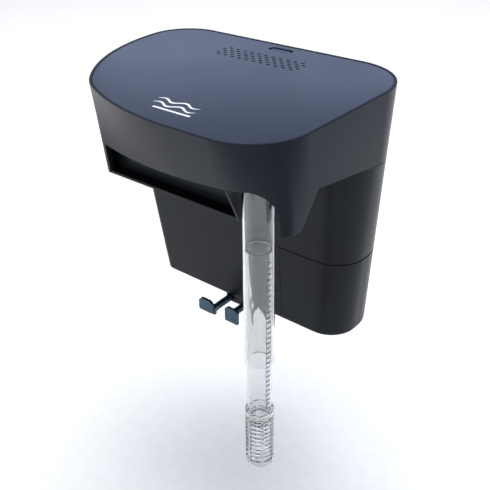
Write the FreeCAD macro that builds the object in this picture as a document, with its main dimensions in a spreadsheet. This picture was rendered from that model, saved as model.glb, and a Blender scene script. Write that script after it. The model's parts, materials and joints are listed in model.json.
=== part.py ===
import FreeCAD, Part
import math
import os
import re
import Sketcher

# Hang-on-back aquarium filter, in millimetres.
# Frame: the origin is the middle of the seat that rests on the tank's rim, +Z is up, -Y points
# into the tank, +Y away from it, and +X is to the right of someone who faces the filter's front.

os.makedirs("parts", exist_ok=True)
V = FreeCAD.Vector
doc = FreeCAD.newDocument("HangOnFilter")

# ---------------------------------------------------------------- driving sizes

SIZES = {
    # hood: a D-shaped skirt, deepest on the right, drafted down to the outlet slot
    "hood_top": 60, "hood_foot": -19, "hood_half": 133, "hood_back": 115, "hood_front": 95.8,
    "hood_wall": 2.5, "back_corner": 57, "back_corner_left": 40, "front_corner": 50,
    "sweep_reach": 178, "front_flat": "=sweep_reach - hood_half", "front_sweep": 223,
    "nose_sweep": 70, "nose_angle": 29, "sweep_end": 75, "slope_tan": 0.0909, "chord_front": 59.6,
    "chord_corner": 8, "chord_split": 40, "ledge_drop": 3.6, "ledge_thick": 2, "ledge_reach": 9,
    # skirt edges: outlet slot, intake arch, cheek and the edge that crosses the rim
    "slot_left_z": 8.6, "slot_low_x": 11, "slot_low_z": 6.8, "slot_high_z": 16, "post_wide": 3.4,
    "arch_radius": 18, "arch_inset": 13.5, "arch_right": "=hood_half - arch_inset",
    "cheek_plate_z": 12.5, "cheek_low_y": -42, "cheek_top_y": -25.3, "edge_front_z": 9.2,
    "edge_back_z": -12.6,
    # fits
    "fit_gap": 0.3, "seam_gap": 0.4, "touch_gap": 0.1,
    # lid
    "lid_sink": 0.4, "grille_y": 69.6, "grille_pitch": 7.9, "grille_rows": 5,
    "grille_columns": 13, "grille_step_x": 4.3, "grille_step_y": 4.9, "vent_long": 4,
    "vent_wide": 2.3, "button_y": 100.3, "button_long": 21, "button_wide": 5.4,
    "button_margin": 2, "button_recess": 1.4, "flange_extra": 1.6, "flange_thick": 1.6,
    "button_sink": 0.6, "bracket_thick": 1.8, "bracket_play": 1.5, "bracket_trim": 0.5,
    "pin_play": 0.2, "pin_high": 1.2, "stem_drop": 2, "spring_radius": 2.6, "spring_wire": 0.6,
    "spring_turns": 5, "spring_room": 6,
    # outlet chute and box
    "tube_radius": 12.5, "tube_inset": 36, "tube_x": "=hood_half - tube_inset",
    "chute_clear": 3.5, "chute_right": "=tube_x - tube_radius - chute_clear", "chute_wall": 2.2,
    "box_deep": 13.2, "chute_side_z": 24, "seat_thick": 2.5,
    # tank (the container that holds the media)
    "tank_floor": -185.6, "tank_front_top": 29, "tank_front_low": 45.5, "tank_wall": 2.5,
    "tank_front_corner": 33, "tank_front_corner_low": 29, "tank_left_corner": 9,
    "tank_left_corner_top": 32, "corner_blend": 56, "tank_back_corner_low": 33, "neck_top": 26,
    "divider_x": 43, "foot_round": 4, "divider_top": 20, "weir_z": 4, "weir_left": 40,
    "weir_right": 6, "pipe_room": 5, "pipe_sill": 10, "port_wide": 30, "port_high": 26,
    "port_lift": 4,
    # pump cup, lower right
    "cup_shift": 3, "cup_left": "=divider_x + cup_shift", "cup_top": -99, "gasket_thick": 1.2,
    "gasket_inset": 1, "gasket_wide": 2.4, "shelf_thick": 3, "boss_radius": 4, "boss_floor": 3,
    "pilot_spare": 2, "screw_radius": 1.6, "screw_long": 14, "head_radius": 3.2, "head_high": 2.1,
    "head_round": 0.8, "cross_long": 3.6, "cross_wide": 0.9, "cross_deep": 1, "screw_inset": 9,
    "back_screw_inset": 12, "side_screw_inset": 4.5,
    # pump
    "pump_inset": 49, "pump_x": "=hood_half - pump_inset", "pump_y": 80, "can_radius": 22,
    "can_wall": 2, "can_top": -121, "well_radius": 8.5, "well_wall": 1.4, "magnet_radius": 8.1,
    "shaft_radius": 1.25, "well_lift": 8, "stator_lift": 12, "bushing_high": 4,
    "bushing_radius": 2.6, "shaft_play": 0.05, "eye_radius": 4, "spoke_thick": 1.6,
    "wheel_radius": 15, "wheel_high": 6.2, "wheel_disc": 1.6, "hub_radius": 4, "blade_count": 6,
    "blade_thick": 1.4, "volute_high": 13, "outlet_shift": 15,
    "outlet_x": "=divider_x + outlet_shift", "outlet_radius": 7, "volute_wall": 3,
    "volute_roof": 2, "duct_wall": 1.8, "neck_rise": 6, "seal_thick": 2.4,
    # intake run
    "tube_room": 9.4, "tube_y": "=tube_radius - chord_front - tube_room", "tube_wall": 1.5,
    "tube_top": 22, "tube_end": -145, "tube_chamfer": 0.6, "slide_play": 0.7,
    "inner_radius": "=tube_radius - tube_wall - slide_play", "inner_wall": 1.3, "inner_top": -37,
    "inner_end": -207, "ring_high": 2.5, "rack_wide": 4, "rack_pitch": 5, "rack_tooth": 0.9,
    "rack_fill": 0.4, "rack_base": 0.5, "rack_sink": 0.2, "rack_margin": 6, "rack_turn": -10, "strainer_grip": 2.1,
    "strainer_radius": "=inner_radius + strainer_grip", "strainer_top": -198,
    "strainer_end": -260, "slot_pitch": 4.6, "slot_high": 2.4, "slot_margin": 7,
    "strainer_ribs": 6, "rib_wide": 2, "rib_turn": 20, "strainer_wall": 1.6, "strainer_round": 5,
    "strainer_lip": 1.2, "spigot_play": 0.2,
    "elbow_radius": "=tube_radius - tube_wall - spigot_play", "socket_wall": 2.2,
    "socket_radius": "=elbow_radius + socket_wall", "elbow_wall": 1.6, "elbow_level": 41,
    "elbow_bend": 16, "spigot_drop": 8, "collar_thick": 2.5, "collar_reach": 0.6,
    # media
    "media_front": 56, "media_back": 106, "media_top": -28, "basket_shift": 139,
    "basket_left": "=divider_x - basket_shift", "basket_long": 41,
    "basket_right": "=basket_left + basket_long", "basket_wall": 1.6, "ring_radius": 6,
    "ring_bore": 3.4, "ring_long": 14, "pad_thick": 40, "pad_gap": 4, "pad_shift": 9,
    "pad_two_left": "=divider_x - pad_shift - pad_thick",
    "pad_one_left": "=pad_two_left - pad_gap - pad_thick", "frame_bar": 3, "loop_wide": 24,
    "loop_high": 13, "loop_thick": 4, "loop_bar": 3, "cell_pitch": 8, "cell_long": 12,
    "cell_high": 3, "cell_margin": 8,
    # spacers that keep the tank's side wall upright
    "spacer_left_x": -24, "spacer_right_x": -3, "spacer_bar_wide": 6, "spacer_bar_high": 5,
    "spacer_drop": 5.4, "spacer_z": "=tank_floor - spacer_drop", "left_pad_y": 16.5,
    "right_pad_y": 20.5, "spacer_pad_thick": 3, "spacer_tail_y": 92, "tooth_pitch": 3,
    "tooth_deep": 0.8, "tooth_start": 9, "tooth_end": 4, "bar_collar": 1.5, "bar_collar_long": 3,
    "nose_radius": 1.5, "nose_long": 1.6, "guide_wall": 2, "guide_long": 26, "guide_front": 50,
    "pad_snip": 3, "pad_round": 1.2, "left_pad_shift": -5, "left_pad_wide": 17.5,
    "left_pad_low": 1.5, "left_pad_high": 12.5, "right_pad_shift": 4, "right_pad_wide": 16.5,
    "right_pad_low": 5, "right_pad_high": 12,
    # cable gland
    "gland_shift": 19, "gland_z": -60, "gland_radius": 7, "gland_bore": 3.2, "gland_long": 16,
    "gland_lip": 2, "gland_flange": 3, "gland_inside": 6,
}

sheet = doc.addObject("Spreadsheet::Sheet", "Dims")
for row, (alias, value) in enumerate(SIZES.items(), 1):
    sheet.set("A%d" % row, alias)
    sheet.set("B%d" % row, str(value))
    sheet.setAlias("B%d" % row, alias)
doc.recompute()


def size(text):
    """The value of a sum of sheet names, such as "tube_radius - tube_wall"."""
    return float(sheet.evalExpression(str(text)))


def linked(text):
    """The same sum as an expression that any object of the document can be bound to."""
    return re.sub(r"[a-z][a-z_]+", r"Dims.\g<0>", str(text))


# ---------------------------------------------------------------- builders

parts = {}


def keep(label, obj):
    """Marks an object as a finished sub-part: its Label is the name of its file."""
    obj.Label = label
    parts[label] = obj
    return obj


def bind_place(obj, place):
    for axis, text in zip("xyz", place):
        obj.setExpression("Placement.Base." + axis, linked(text))


def box(name, sizes, place):
    obj = doc.addObject("Part::Box", name)
    for prop, text in zip(("Length", "Width", "Height"), sizes):
        obj.setExpression(prop, linked(text))
    bind_place(obj, place)
    return obj


def rod(name, radius, height, place, turn=None):
    obj = doc.addObject("Part::Cylinder", name)
    obj.setExpression("Radius", linked(radius))
    obj.setExpression("Height", linked(height))
    if turn:
        obj.Placement = FreeCAD.Placement(V(), FreeCAD.Rotation(V(*turn[0]), turn[1]))
    bind_place(obj, place)
    return obj


def join(name, *members):
    obj = doc.addObject("Part::MultiFuse", name)
    obj.Shapes = list(members)
    return obj


def cut(name, base, *tools):
    obj = doc.addObject("Part::Cut", name)
    obj.Base = base
    obj.Tool = tools[0] if len(tools) == 1 else join(name + "Tools", *tools)
    return obj


def shaped(name, shape):
    obj = doc.addObject("Part::Feature", name)
    obj.Shape = shape
    return obj


def sketched(body, name, role, corners):
    """A closed outline on one of the body's planes, each corner bound to the sheet."""
    sketch = body.newObject("Sketcher::SketchObject", name)
    plane = [f for f in body.Origin.OriginFeatures if f.Role == role][0]
    sketch.AttachmentSupport = [(plane, "")]
    sketch.MapMode = "FlatFace"
    values = [(size(a), size(b)) for a, b in corners]
    count = len(corners)
    for i in range(count):
        (ax, ay), (bx, by) = values[i], values[(i + 1) % count]
        sketch.addGeometry(Part.LineSegment(V(ax, ay, 0), V(bx, by, 0)))
    for i in range(count):
        sketch.addConstraint(Sketcher.Constraint("Coincident", i, 2, (i + 1) % count, 1))
        for kind, k in (("DistanceX", 0), ("DistanceY", 1)):
            number = sketch.addConstraint(Sketcher.Constraint(kind, -1, 1, i, 1, values[i][k]))
            sketch.setExpression("Constraints[%d]" % number, linked(corners[i][k]))
    return sketch


def turned(name, corners, place):
    """A body of revolution: corners are (radius, height) pairs, turned about the Z axis."""
    body = doc.addObject("PartDesign::Body", name)
    sketch = sketched(body, name + "Profile", "XZ_Plane", corners)
    spin = body.newObject("PartDesign::Revolution", name + "Turn")
    spin.Profile = sketch
    spin.ReferenceAxis = (sketch, ["V_Axis"])
    spin.Angle = 360
    body.Tip = spin
    bind_place(body, place)
    return body


# ---------------------------------------------------------------- hood outline

def arc(centre, radius, start, end, level):
    """Arc in plan from start to end, in degrees from +X, at a level."""
    points = []
    for angle in (start, (start + end) / 2, end):
        turn = math.radians(angle)
        points.append(V(centre[0] + radius * math.cos(turn), centre[1] + radius * math.sin(turn),
                        level))
    return Part.Arc(*points).toShape()


def chained(edges_and_points, level):
    """A wire of arcs and (x, y) corners, begun by an arc, with straight lines in between."""
    edges = []
    for item in edges_and_points:
        if isinstance(item, tuple):
            point = V(item[0], item[1], level)
            edges.append(Part.makeLine(edges[-1].lastVertex(True).Point, point))
        else:
            start = item.firstVertex(True).Point
            if edges and (edges[-1].lastVertex(True).Point - start).Length > 1e-6:
                edges.append(Part.makeLine(edges[-1].lastVertex(True).Point, start))
            edges.append(item)
    end, begin = edges[-1].lastVertex(True).Point, edges[0].firstVertex(True).Point
    if (end - begin).Length > 1e-6:
        edges.append(Part.makeLine(end, begin))
    return Part.Wire(edges)


class Sweep:
    """The hood's front-left flank: three tangent arcs, front, nose and flank."""

    def __init__(self):
        self.front = size("front_sweep")
        self.nose = size("nose_sweep")
        self.turn_one = size("nose_angle")
        one = math.radians(self.turn_one)
        self.front_centre = (size("front_flat"), self.front - size("hood_front"))
        reach = self.front - self.nose
        self.nose_centre = (self.front_centre[0] - reach * math.sin(one),
                            self.front_centre[1] - reach * math.cos(one))
        low, high = one, math.radians(85)
        for _ in range(60):
            middle = (low + high) / 2
            if self.miss(middle) > 0:
                low = middle
            else:
                high = middle
        self.turn_two = math.degrees(low)
        self.flank = (size("sweep_end") - self.nose_end(low)[1]) / math.cos(low)
        self.flank_centre = (self.flank - size("hood_half"), size("sweep_end"))

    def nose_end(self, turn):
        return (self.nose_centre[0] - self.nose * math.sin(turn),
                self.nose_centre[1] - self.nose * math.cos(turn))

    def miss(self, turn):
        """Zero where one arc can leave the nose and end upright on the hood's left side."""
        x, y = self.nose_end(turn)
        wide = size("hood_half") + x
        deep = size("sweep_end") - y
        return deep * (1 - math.sin(turn)) - wide * math.cos(turn)


def hood_rim(inset):
    """Plan of the hood at its top, moved in by inset."""
    sweep = Sweep()
    level, half, back = size("hood_top"), size("hood_half"), size("hood_back")
    rear, fore, front = size("back_corner"), size("front_corner"), size("hood_front")
    rear_left = size("back_corner_left")
    edges = [arc((half - rear, back - rear), rear - inset, 90, 0, level),
             arc((half - fore, fore - front), fore - inset, 0, -90, level),
             arc(sweep.front_centre, sweep.front - inset, -90, -90 - sweep.turn_one, level),
             arc(sweep.nose_centre, sweep.nose - inset,
                 -90 - sweep.turn_one, -90 - sweep.turn_two, level),
             arc(sweep.flank_centre, sweep.flank - inset, -90 - sweep.turn_two, -180, level),
             arc((rear_left - half, back - rear_left), rear_left - inset, 180, 90, level)]
    return chained(edges, level)


def hood_hem(inset):
    """Plan of the hood at its foot: the drafted sides, cut straight across the front."""
    sweep = Sweep()
    level, half, back = size("hood_foot"), size("hood_half"), size("hood_back")
    drop = size("slope_tan * (hood_top - hood_foot)")
    rear, small, chord = size("back_corner"), size("chord_corner"), size("chord_front")
    rear_left = size("back_corner_left")
    nose = sweep.nose - drop - inset
    begin = math.degrees(math.acos((sweep.nose_centre[1] + chord - inset) / nose))
    edges = [arc((half - rear, back - rear + drop), rear - drop - inset, 90, 0, level),
             arc((half - drop - small, small - chord), small - inset, 0, -90, level),
             (size("chord_split"), inset - chord),
             arc(sweep.nose_centre, nose, -90 - begin, -90 - sweep.turn_two, level),
             arc(sweep.flank_centre, sweep.flank - drop - inset,
                 -90 - sweep.turn_two, -180, level),
             arc((rear_left - half, back - rear_left + drop), rear_left - drop - inset,
                 180, 90, level)]
    return chained(edges, level)


def hood_block(inset):
    """Solid inside the hood's outer face, moved in by inset."""
    return Part.makeLoft([hood_rim(inset), hood_hem(inset)], True, True)


def level_slab(low, high):
    """Everything between two levels, wider than the product."""
    reach = 4 * size("hood_half")
    return Part.makeBox(2 * reach, 2 * reach, high - low, V(-reach, -reach, low))


def across(outline, low_x, high_x):
    """Prism along X with a (y, z) outline."""
    wire = Part.makePolygon([V(low_x, y, z) for y, z in outline + outline[:1]])
    return Part.Face(wire).extrude(V(high_x - low_x, 0, 0))


def through(outline, low_y, high_y):
    """Prism along Y with an (x, z) outline."""
    wire = Part.makePolygon([V(x, low_y, z) for x, z in outline + outline[:1]])
    return Part.Face(wire).extrude(V(0, high_y - low_y, 0))


def stadium(length, wide, low, high, centre):
    """Upright slab with round ends, its length along X."""
    radius = wide / 2
    reach = length / 2 - radius
    edges = [arc((centre[0] + reach, centre[1]), radius, 90, -90, low),
             arc((centre[0] - reach, centre[1]), radius, -90, -270, low)]
    return Part.Face(chained(edges, low)).extrude(V(0, 0, high - low))


def upright(radius, low, high, centre):
    return Part.makeCylinder(radius, high - low, V(centre[0], centre[1], low))


reach = 2 * size("hood_half")
half, back, front = size("hood_half"), size("hood_back"), size("hood_front")
top, foot, wall, fit = size("hood_top"), size("hood_foot"), size("hood_wall"), size("fit_gap")


def edge_z(y):
    """Height of the hood's lower edge where it crosses the rim and meets the tank."""
    slope = size("(edge_back_z - edge_front_z) / (hood_back - cheek_top_y)")
    return size("edge_front_z") + slope * (y - size("cheek_top_y"))


# ---------------------------------------------------------------- hood

ledge_top = top - size("ledge_drop")
slot_left = min(v.Point.x for v in hood_hem(0).Vertexes if v.Point.y < 1 - size("chord_front"))


def hood_shell():
    shell = hood_block(0).cut(hood_block(wall))
    ring = hood_block(wall / 2).common(level_slab(ledge_top - size("ledge_thick"), ledge_top))
    hole = Part.Face(hood_rim(size("ledge_reach"))).extrude(
        V(0, 0, -2 * size("ledge_drop + ledge_thick")))
    shell = shell.fuse(ring.cut(hole))
    # the slot runs from a thin post on the left, under a rising edge, into the arch at the tube
    radius, right = size("arch_radius"), size("arch_right")
    low, high = size("slot_low_z"), size("slot_high_z")
    left = slot_left + size("post_wide")
    under = 2 * foot
    lintel = Part.Arc(V(left, -reach, size("slot_left_z")), V(size("slot_low_x"), -reach, low),
                      V(right - radius, -reach, high)).toShape()
    bend = Part.Arc(V(right - radius, -reach, high),
                    V(right - radius + radius * math.sin(math.pi / 4), -reach,
                      high - radius + radius * math.cos(math.pi / 4)),
                    V(right, -reach, high - radius)).toShape()
    edges = [Part.makeLine(V(left, -reach, under), V(left, -reach, size("slot_left_z"))),
             lintel, bend,
             Part.makeLine(V(right, -reach, high - radius), V(right, -reach, under)),
             Part.makeLine(V(right, -reach, under), V(left, -reach, under))]
    slot = Part.Face(Part.Wire(edges)).extrude(V(0, reach + size("cheek_low_y"), 0))
    # behind the cheek the skirt steps up, clears the rim and falls to meet the tank
    gap = across([(size("cheek_low_y"), 2 * foot), (size("cheek_low_y"), foot),
                  (size("cheek_top_y"), edge_z(size("cheek_top_y"))),
                  (reach, edge_z(reach)), (reach, 2 * foot)], -reach, reach)
    shell = shell.cut(slot).cut(gap)
    solids = sorted(shell.Solids, key=lambda s: -s.Volume)
    return solids[0]


keep("hood_cover", shaped("HoodCover", hood_shell()))

# ---------------------------------------------------------------- lid

touch = size("touch_gap")
lid_low, lid_high = ledge_top + touch, top - size("lid_sink")
pin_radius = size("spring_radius - spring_wire - pin_play")


def vent_places():
    """Skewed rows of vents, with shorter columns at both ends."""
    rows, columns = int(size("grille_rows")), int(size("grille_columns"))
    short = {0: (rows - 2, rows - 1), 1: (1, rows - 1), columns - 2: (0, rows - 2),
             columns - 1: (0, 1)}
    for column in range(columns):
        first, last = short.get(column, (0, rows - 1))
        for row in range(first, last + 1):
            offset = row - (rows - 1) / 2
            yield ((column - (columns - 1) / 2) * size("grille_pitch") + offset * size("grille_step_x"),
                   size("grille_y") - offset * size("grille_step_y"))


def lid_panel():
    panel = hood_block(wall + fit).common(level_slab(lid_low, lid_high))
    vents = [stadium(size("vent_long"), size("vent_wide"), lid_low - 1, lid_high + 1, place)
             for place in vent_places()]
    centre = (0, size("button_y"))
    margin = size("button_margin")
    vents.append(stadium(size("button_long") + 2 * margin, size("button_wide") + 2 * margin,
                         lid_high - size("button_recess"), lid_high + 1, centre))
    vents.append(stadium(size("button_long") + 2 * fit, size("button_wide") + 2 * fit,
                         lid_low - 1, lid_high, centre))
    return panel.cut(Part.makeCompound(vents)).Solids[0]


keep("lid_panel", shaped("LidPanel", lid_panel()))


def release_button():
    centre = (0, size("button_y"))
    extra = 2 * size("flange_extra")
    key = stadium(size("button_long"), size("button_wide"), lid_low - fit - touch,
                  lid_high - size("button_sink"), centre)
    flange = stadium(size("button_long") + extra, size("button_wide") + extra,
                     lid_low - fit - size("flange_thick"), lid_low - fit, centre)
    stem = upright(pin_radius, lid_low - fit - size("flange_thick + stem_drop"),
                   lid_low - fit - touch, centre)
    return key.fuse(flange).fuse(stem).removeSplitter().Solids[0]


keep("release_button", shaped("ReleaseButton", release_button()))

flange_low = lid_low - fit - size("flange_thick")
bracket_top = flange_low - size("spring_room")


def latch_bracket():
    """Small bridge under the lid that the button's spring stands on."""
    centre_y, thick = size("button_y"), size("bracket_thick")
    wide = size("button_long + 2 * flange_extra + 2 * bracket_play")
    deep = size("button_wide + 2 * bracket_trim")
    plate = Part.makeBox(wide + 2 * thick, deep, thick,
                         V(-wide / 2 - thick, centre_y - deep / 2, bracket_top - thick))
    legs = [Part.makeBox(thick, deep, lid_low - touch / 2 - bracket_top + thick,
                         V(x, centre_y - deep / 2, bracket_top - thick))
            for x in (-wide / 2 - thick, wide / 2)]
    pin = upright(pin_radius, bracket_top - thick, bracket_top + size("pin_high"), (0, centre_y))
    return plate.fuse(legs + [pin]).removeSplitter().Solids[0]


keep("latch_bracket", shaped("LatchBracket", latch_bracket()))


def button_spring():
    wire = size("spring_wire") / 2
    room = size("spring_room") - 2 * wire - touch
    helix = Part.makeHelix(room / size("spring_turns"), room, size("spring_radius") - wire)
    profile = Part.Wire(Part.makeCircle(wire, V(size("spring_radius") - wire, 0, 0),
                                        V(0, 1, 0)))
    coil = Part.Wire(helix).makePipeShell([profile], True, True)
    coil.translate(V(0, size("button_y"), bracket_top + wire + touch / 2))
    return coil


keep("button_spring", shaped("ButtonSpring", button_spring()))

# ---------------------------------------------------------------- outlet chute

chord = size("chord_front")
box_back = size("box_deep") - chord
chute_wall, seat = size("chute_wall"), size("seat_thick")
chute_right, side_z = size("chute_right"), size("chute_side_z")
tank_front = size("tank_front_top")


def outlet_chute():
    """Channel across the rim: seat, outlet box inside the tank and two side walls."""
    rear = tank_front - fit
    outer = [(-reach, foot), (box_back, foot), (box_back, 0), (rear, 0), (rear, side_z),
             (-reach, side_z)]
    inner = [(-reach, foot + seat), (box_back - chute_wall, foot + seat),
             (box_back - chute_wall, seat), (rear + 1, seat), (rear + 1, side_z + 1),
             (-reach, side_z + 1)]
    body = hood_block(wall + fit).common(across(outer, -reach, chute_right))
    hollow = hood_block(wall + fit + chute_wall).common(
        across(inner, -reach, chute_right - chute_wall))
    mouth = Part.makeBox(chute_right - chute_wall - slot_left - size("post_wide"),
                         front - chord + wall + fit + 2 * chute_wall, side_z - foot,
                         V(slot_left + size("post_wide"), -front, foot + seat))
    body = body.cut(hollow).cut(mouth)
    # lip and right cheek plate stand in the slot, flush with the hood's face
    face = hood_block(fit)
    lip = Part.makeBox(chute_right - slot_left - size("post_wide") - fit, size("box_deep") / 2,
                       seat, V(slot_left + size("post_wide") + fit, -chord, foot))
    plate = Part.makeBox(chute_wall, chord + front, size("cheek_plate_z") - foot,
                         V(chute_right - chute_wall, -front, foot))
    plate = plate.common(across([(-reach, foot), (box_back, foot), (box_back, side_z),
                                 (-reach, side_z)], 0, reach))
    body = body.fuse([lip.common(face), plate.common(face)]).removeSplitter()
    return sorted(body.Solids, key=lambda s: -s.Volume)[0]


keep("outlet_chute", shaped("OutletChute", outlet_chute()))

# ---------------------------------------------------------------- tank

floor_z, tank_wall = size("tank_floor"), size("tank_wall")


def tank_plan(level, inset):
    """Plan of the tank at a level: drafted sides and front, upright back, round corners."""
    drop = size("slope_tan") * (top - level)
    share = max(0.0, (foot - level) / (foot - floor_z))
    shrink = min(drop, size("slope_tan") * (top - foot))
    low = size("tank_back_corner_low")
    rear = (size("back_corner") - shrink) * (1 - share) + low * share
    rear_left = (size("back_corner_left") - shrink) * (1 - share) + low * share
    fore = size("tank_front_corner") * (1 - share) + size("tank_front_corner_low") * share
    rise = max(0.0, 1 - (foot - level) / size("corner_blend")) if level < foot else 1.0
    fore_left = size("tank_left_corner") * (1 - rise) + size("tank_left_corner_top") * rise
    lean = size("(tank_front_low - tank_front_top) / tank_floor")
    face = size("tank_front_top") + lean * level
    side = half - drop
    edges = [arc((side - rear, back - rear), rear - inset, 90, 0, level),
             arc((side - fore, face + fore), fore - inset, 0, -90, level),
             arc((fore_left - side, face + fore_left), fore_left - inset, -90, -180, level),
             arc((rear_left - side, back - rear_left), rear_left - inset, 180, 90, level)]
    return chained(edges, level)


def tank_block(low, high, inset):
    """Solid between two levels; the left front corner widens over its top part."""
    blend = foot - size("corner_blend")
    levels = [low, blend, high] if low < blend < high else [low, high]
    return Part.makeLoft([tank_plan(level, inset) for level in levels], True, True)


def below_edge(gap):
    """Everything under the hood's lower edge, by a gap."""
    return across([(-reach, edge_z(-reach) - gap), (reach, edge_z(reach) - gap),
                   (reach, 2 * floor_z), (-reach, 2 * floor_z)], -reach, reach)


cup_left, cup_top = size("cup_left"), size("cup_top")
shelf, divider = size("shelf_thick"), size("divider_x")
neck_inset = wall + fit
gland_x = "divider_x + gland_shift"
neck_top = size("neck_top")
pump = (size("pump_x"), size("pump_y"))
screw_x = divider + size("screw_inset")
cup_screws_at = [(screw_x, back - size("back_screw_inset")),
                 (screw_x, size("tank_front_low + screw_inset")),
                 (half + size("slope_tan") * (cup_top - top) - tank_wall
                  - size("side_screw_inset"), pump[1])]


def rounded_foot(solid):
    """Rounds the bottom edges of a tank block."""
    edges = [e for e in solid.Edges
             if abs(e.BoundBox.ZMax - floor_z) < 1e-4 and abs(e.BoundBox.ZMin - floor_z) < 1e-4]
    return solid.makeFillet(size("foot_round"), edges)


tank_outer = rounded_foot(tank_block(floor_z, foot, 0))


def container_shell():
    upper = tank_block(foot, size("edge_front_z"), 0).common(below_edge(size("seam_gap")))
    outer = tank_outer.fuse(upper)
    neck = tank_block(foot - tank_wall, neck_top, neck_inset).common(
        hood_block(neck_inset).fuse(tank_block(foot - tank_wall, foot, neck_inset)))
    outer = outer.fuse(neck).removeSplitter()
    low = tank_block(floor_z + tank_wall, foot, tank_wall)
    high = tank_block(foot, neck_top + fit, neck_inset + tank_wall).common(
        hood_block(neck_inset + tank_wall))
    rooms = low.fuse(high)
    divide = Part.makeBox(cup_left - fit - divider, reach, size("divider_top") - floor_z,
                          V(divider, 0, floor_z))
    platform = Part.makeBox(reach, reach, shelf, V(divider, 0, cup_top))
    rooms = rooms.cut(divide).cut(platform)
    shell = outer.cut(rooms)
    # the lower right quarter is a piece of its own
    corner = Part.makeBox(reach, reach, cup_top - 2 * floor_z, V(cup_left - fit, 0, 2 * floor_z))
    shell = shell.cut(corner)
    # weir: the front wall is lowered where water leaves for the chute
    left = size("weir_left - hood_half")
    depth = size("tank_front_top") + 2 * (neck_inset + tank_wall)
    weir = Part.makeBox(divider - size("weir_right") - left, depth, reach,
                        V(left, 0, size("weir_z")))
    cross_x = size("tube_x + (pump_x - tube_x) * (tank_front_top - tube_y) / (pump_y - tube_y)")
    room = size("elbow_radius + pipe_room")
    pipe_way = Part.makeBox(2 * room, depth, reach,
                            V(cross_x - room, 0, size("weir_z + pipe_sill")))
    # openings in the shelf for the pump's two necks, and the way from there to the media
    below, above, port = cup_top - shelf, cup_top + 2 * shelf, size("port_wide")
    holes = [upright(size("socket_radius") + fit, below, above, pump),
             upright(size("outlet_radius") + fit, below, above, (size("outlet_x"), pump[1])),
             Part.makeBox(cup_left - divider + 2 * shelf, port, size("port_high"),
                          V(divider - shelf, pump[1] - port / 2,
                            cup_top + shelf + size("port_lift"))),
             Part.makeCylinder(size("gland_radius - gland_lip"), 4 * tank_wall,
                               V(size(gland_x), back - 2 * tank_wall, size("gland_z")),
                               V(0, 1, 0))]
    holes += [upright(size("screw_radius") + fit, below, above, place)
              for place in cup_screws_at]
    shell = shell.cut(Part.makeCompound([weir])).cut(pipe_way).cut(Part.makeCompound(holes))
    return sorted(shell.Solids, key=lambda s: -s.Volume)[0]


keep("container_shell", shaped("ContainerShell", container_shell()))

# ---------------------------------------------------------------- pump cup

gasket = size("gasket_thick")
cup_rim = cup_top - gasket - 2 * touch


def pump_cup():
    outer = tank_outer.common(Part.makeBox(reach, reach, cup_rim - 2 * floor_z,
                                           V(cup_left, 0, 2 * floor_z)))
    room = tank_block(floor_z + tank_wall, cup_top, tank_wall).common(
        Part.makeBox(reach, reach, reach, V(cup_left + tank_wall, 0, floor_z)))
    pilot_low = cup_top + shelf - size("screw_long + pilot_spare")
    bosses = [upright(size("boss_radius"), pilot_low - size("boss_floor"), cup_rim, place)
              for place in cup_screws_at]
    cup = outer.cut(room).fuse([b.common(outer) for b in bosses]).removeSplitter()
    pilots = [upright(size("screw_radius"), pilot_low, cup_top, place)
              for place in cup_screws_at]
    return cup.cut(Part.makeCompound(pilots)).Solids[0]


keep("pump_cup", shaped("PumpCup", pump_cup()))


def cup_gasket():
    inset, inner_inset = size("gasket_inset"), size("gasket_inset + gasket_wide")
    low, high = cup_rim + touch, cup_top - touch
    ring = tank_block(low, high, inset).common(
        Part.makeBox(reach, reach, reach, V(cup_left + inset, 0, cup_rim)))
    inner = tank_block(low - fit, high + fit, inner_inset).common(
        Part.makeBox(reach, reach, reach, V(cup_left + inner_inset, 0, low - fit)))
    holes = [upright(size("screw_radius") + 2 * fit, cup_rim, cup_top, place)
             for place in cup_screws_at]
    return ring.cut(inner).cut(Part.makeCompound(holes)).Solids[0]


keep("cup_gasket", shaped("CupGasket", cup_gasket()))


def screw(place, seat_level):
    """Pan-head screw with its head on seat_level and its shank below."""
    low = seat_level + touch
    high = low + size("head_high")
    head = upright(size("head_radius"), low, high, place)
    head = head.makeFillet(size("head_round"), [e for e in head.Edges
                                                if abs(e.BoundBox.ZMin - high) < 1e-6])
    shank = upright(size("screw_radius") - touch / 2, seat_level - size("screw_long"),
                    low + size("head_high") / 4, place)
    long, wide, deep = size("cross_long"), size("cross_wide"), size("cross_deep")
    cross = [Part.makeBox(a, b, deep, V(place[0] - a / 2, place[1] - b / 2, high - deep))
             for a, b in ((long, wide), (wide, long))]
    return head.fuse(shank).cut(cross[0].fuse(cross[1])).Solids[0]


keep("cup_screws", shaped("CupScrews", Part.makeCompound(
    [screw(place, cup_top + shelf) for place in cup_screws_at])))

# ---------------------------------------------------------------- pump

pump_place = ("pump_x", "pump_y", "0")
base_low = "tank_floor + tank_wall + fit_gap"
well_floor = "tank_floor + tank_wall + well_lift"

keep("pump_housing", turned("PumpHousing", [
    ("can_radius - can_wall", base_low + " + can_wall + touch_gap"),
    ("can_radius", base_low + " + can_wall + touch_gap"),
    ("can_radius", "can_top"),
    ("well_radius", "can_top"),
    ("well_radius", well_floor),
    ("0", well_floor),
    ("0", well_floor + " - can_wall"),
    ("well_radius + well_wall", well_floor + " - can_wall"),
    ("well_radius + well_wall", "can_top - can_wall"),
    ("can_radius - can_wall", "can_top - can_wall"),
], pump_place))

keep("motor_base_cap", turned("MotorBaseCap", [
    ("0", base_low),
    ("can_radius", base_low),
    ("can_radius", base_low + " + can_wall"),
    ("can_radius - can_wall - touch_gap", base_low + " + can_wall"),
    ("can_radius - can_wall - touch_gap", base_low + " + 2 * can_wall"),
    ("0", base_low + " + 2 * can_wall"),
], pump_place))

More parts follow.
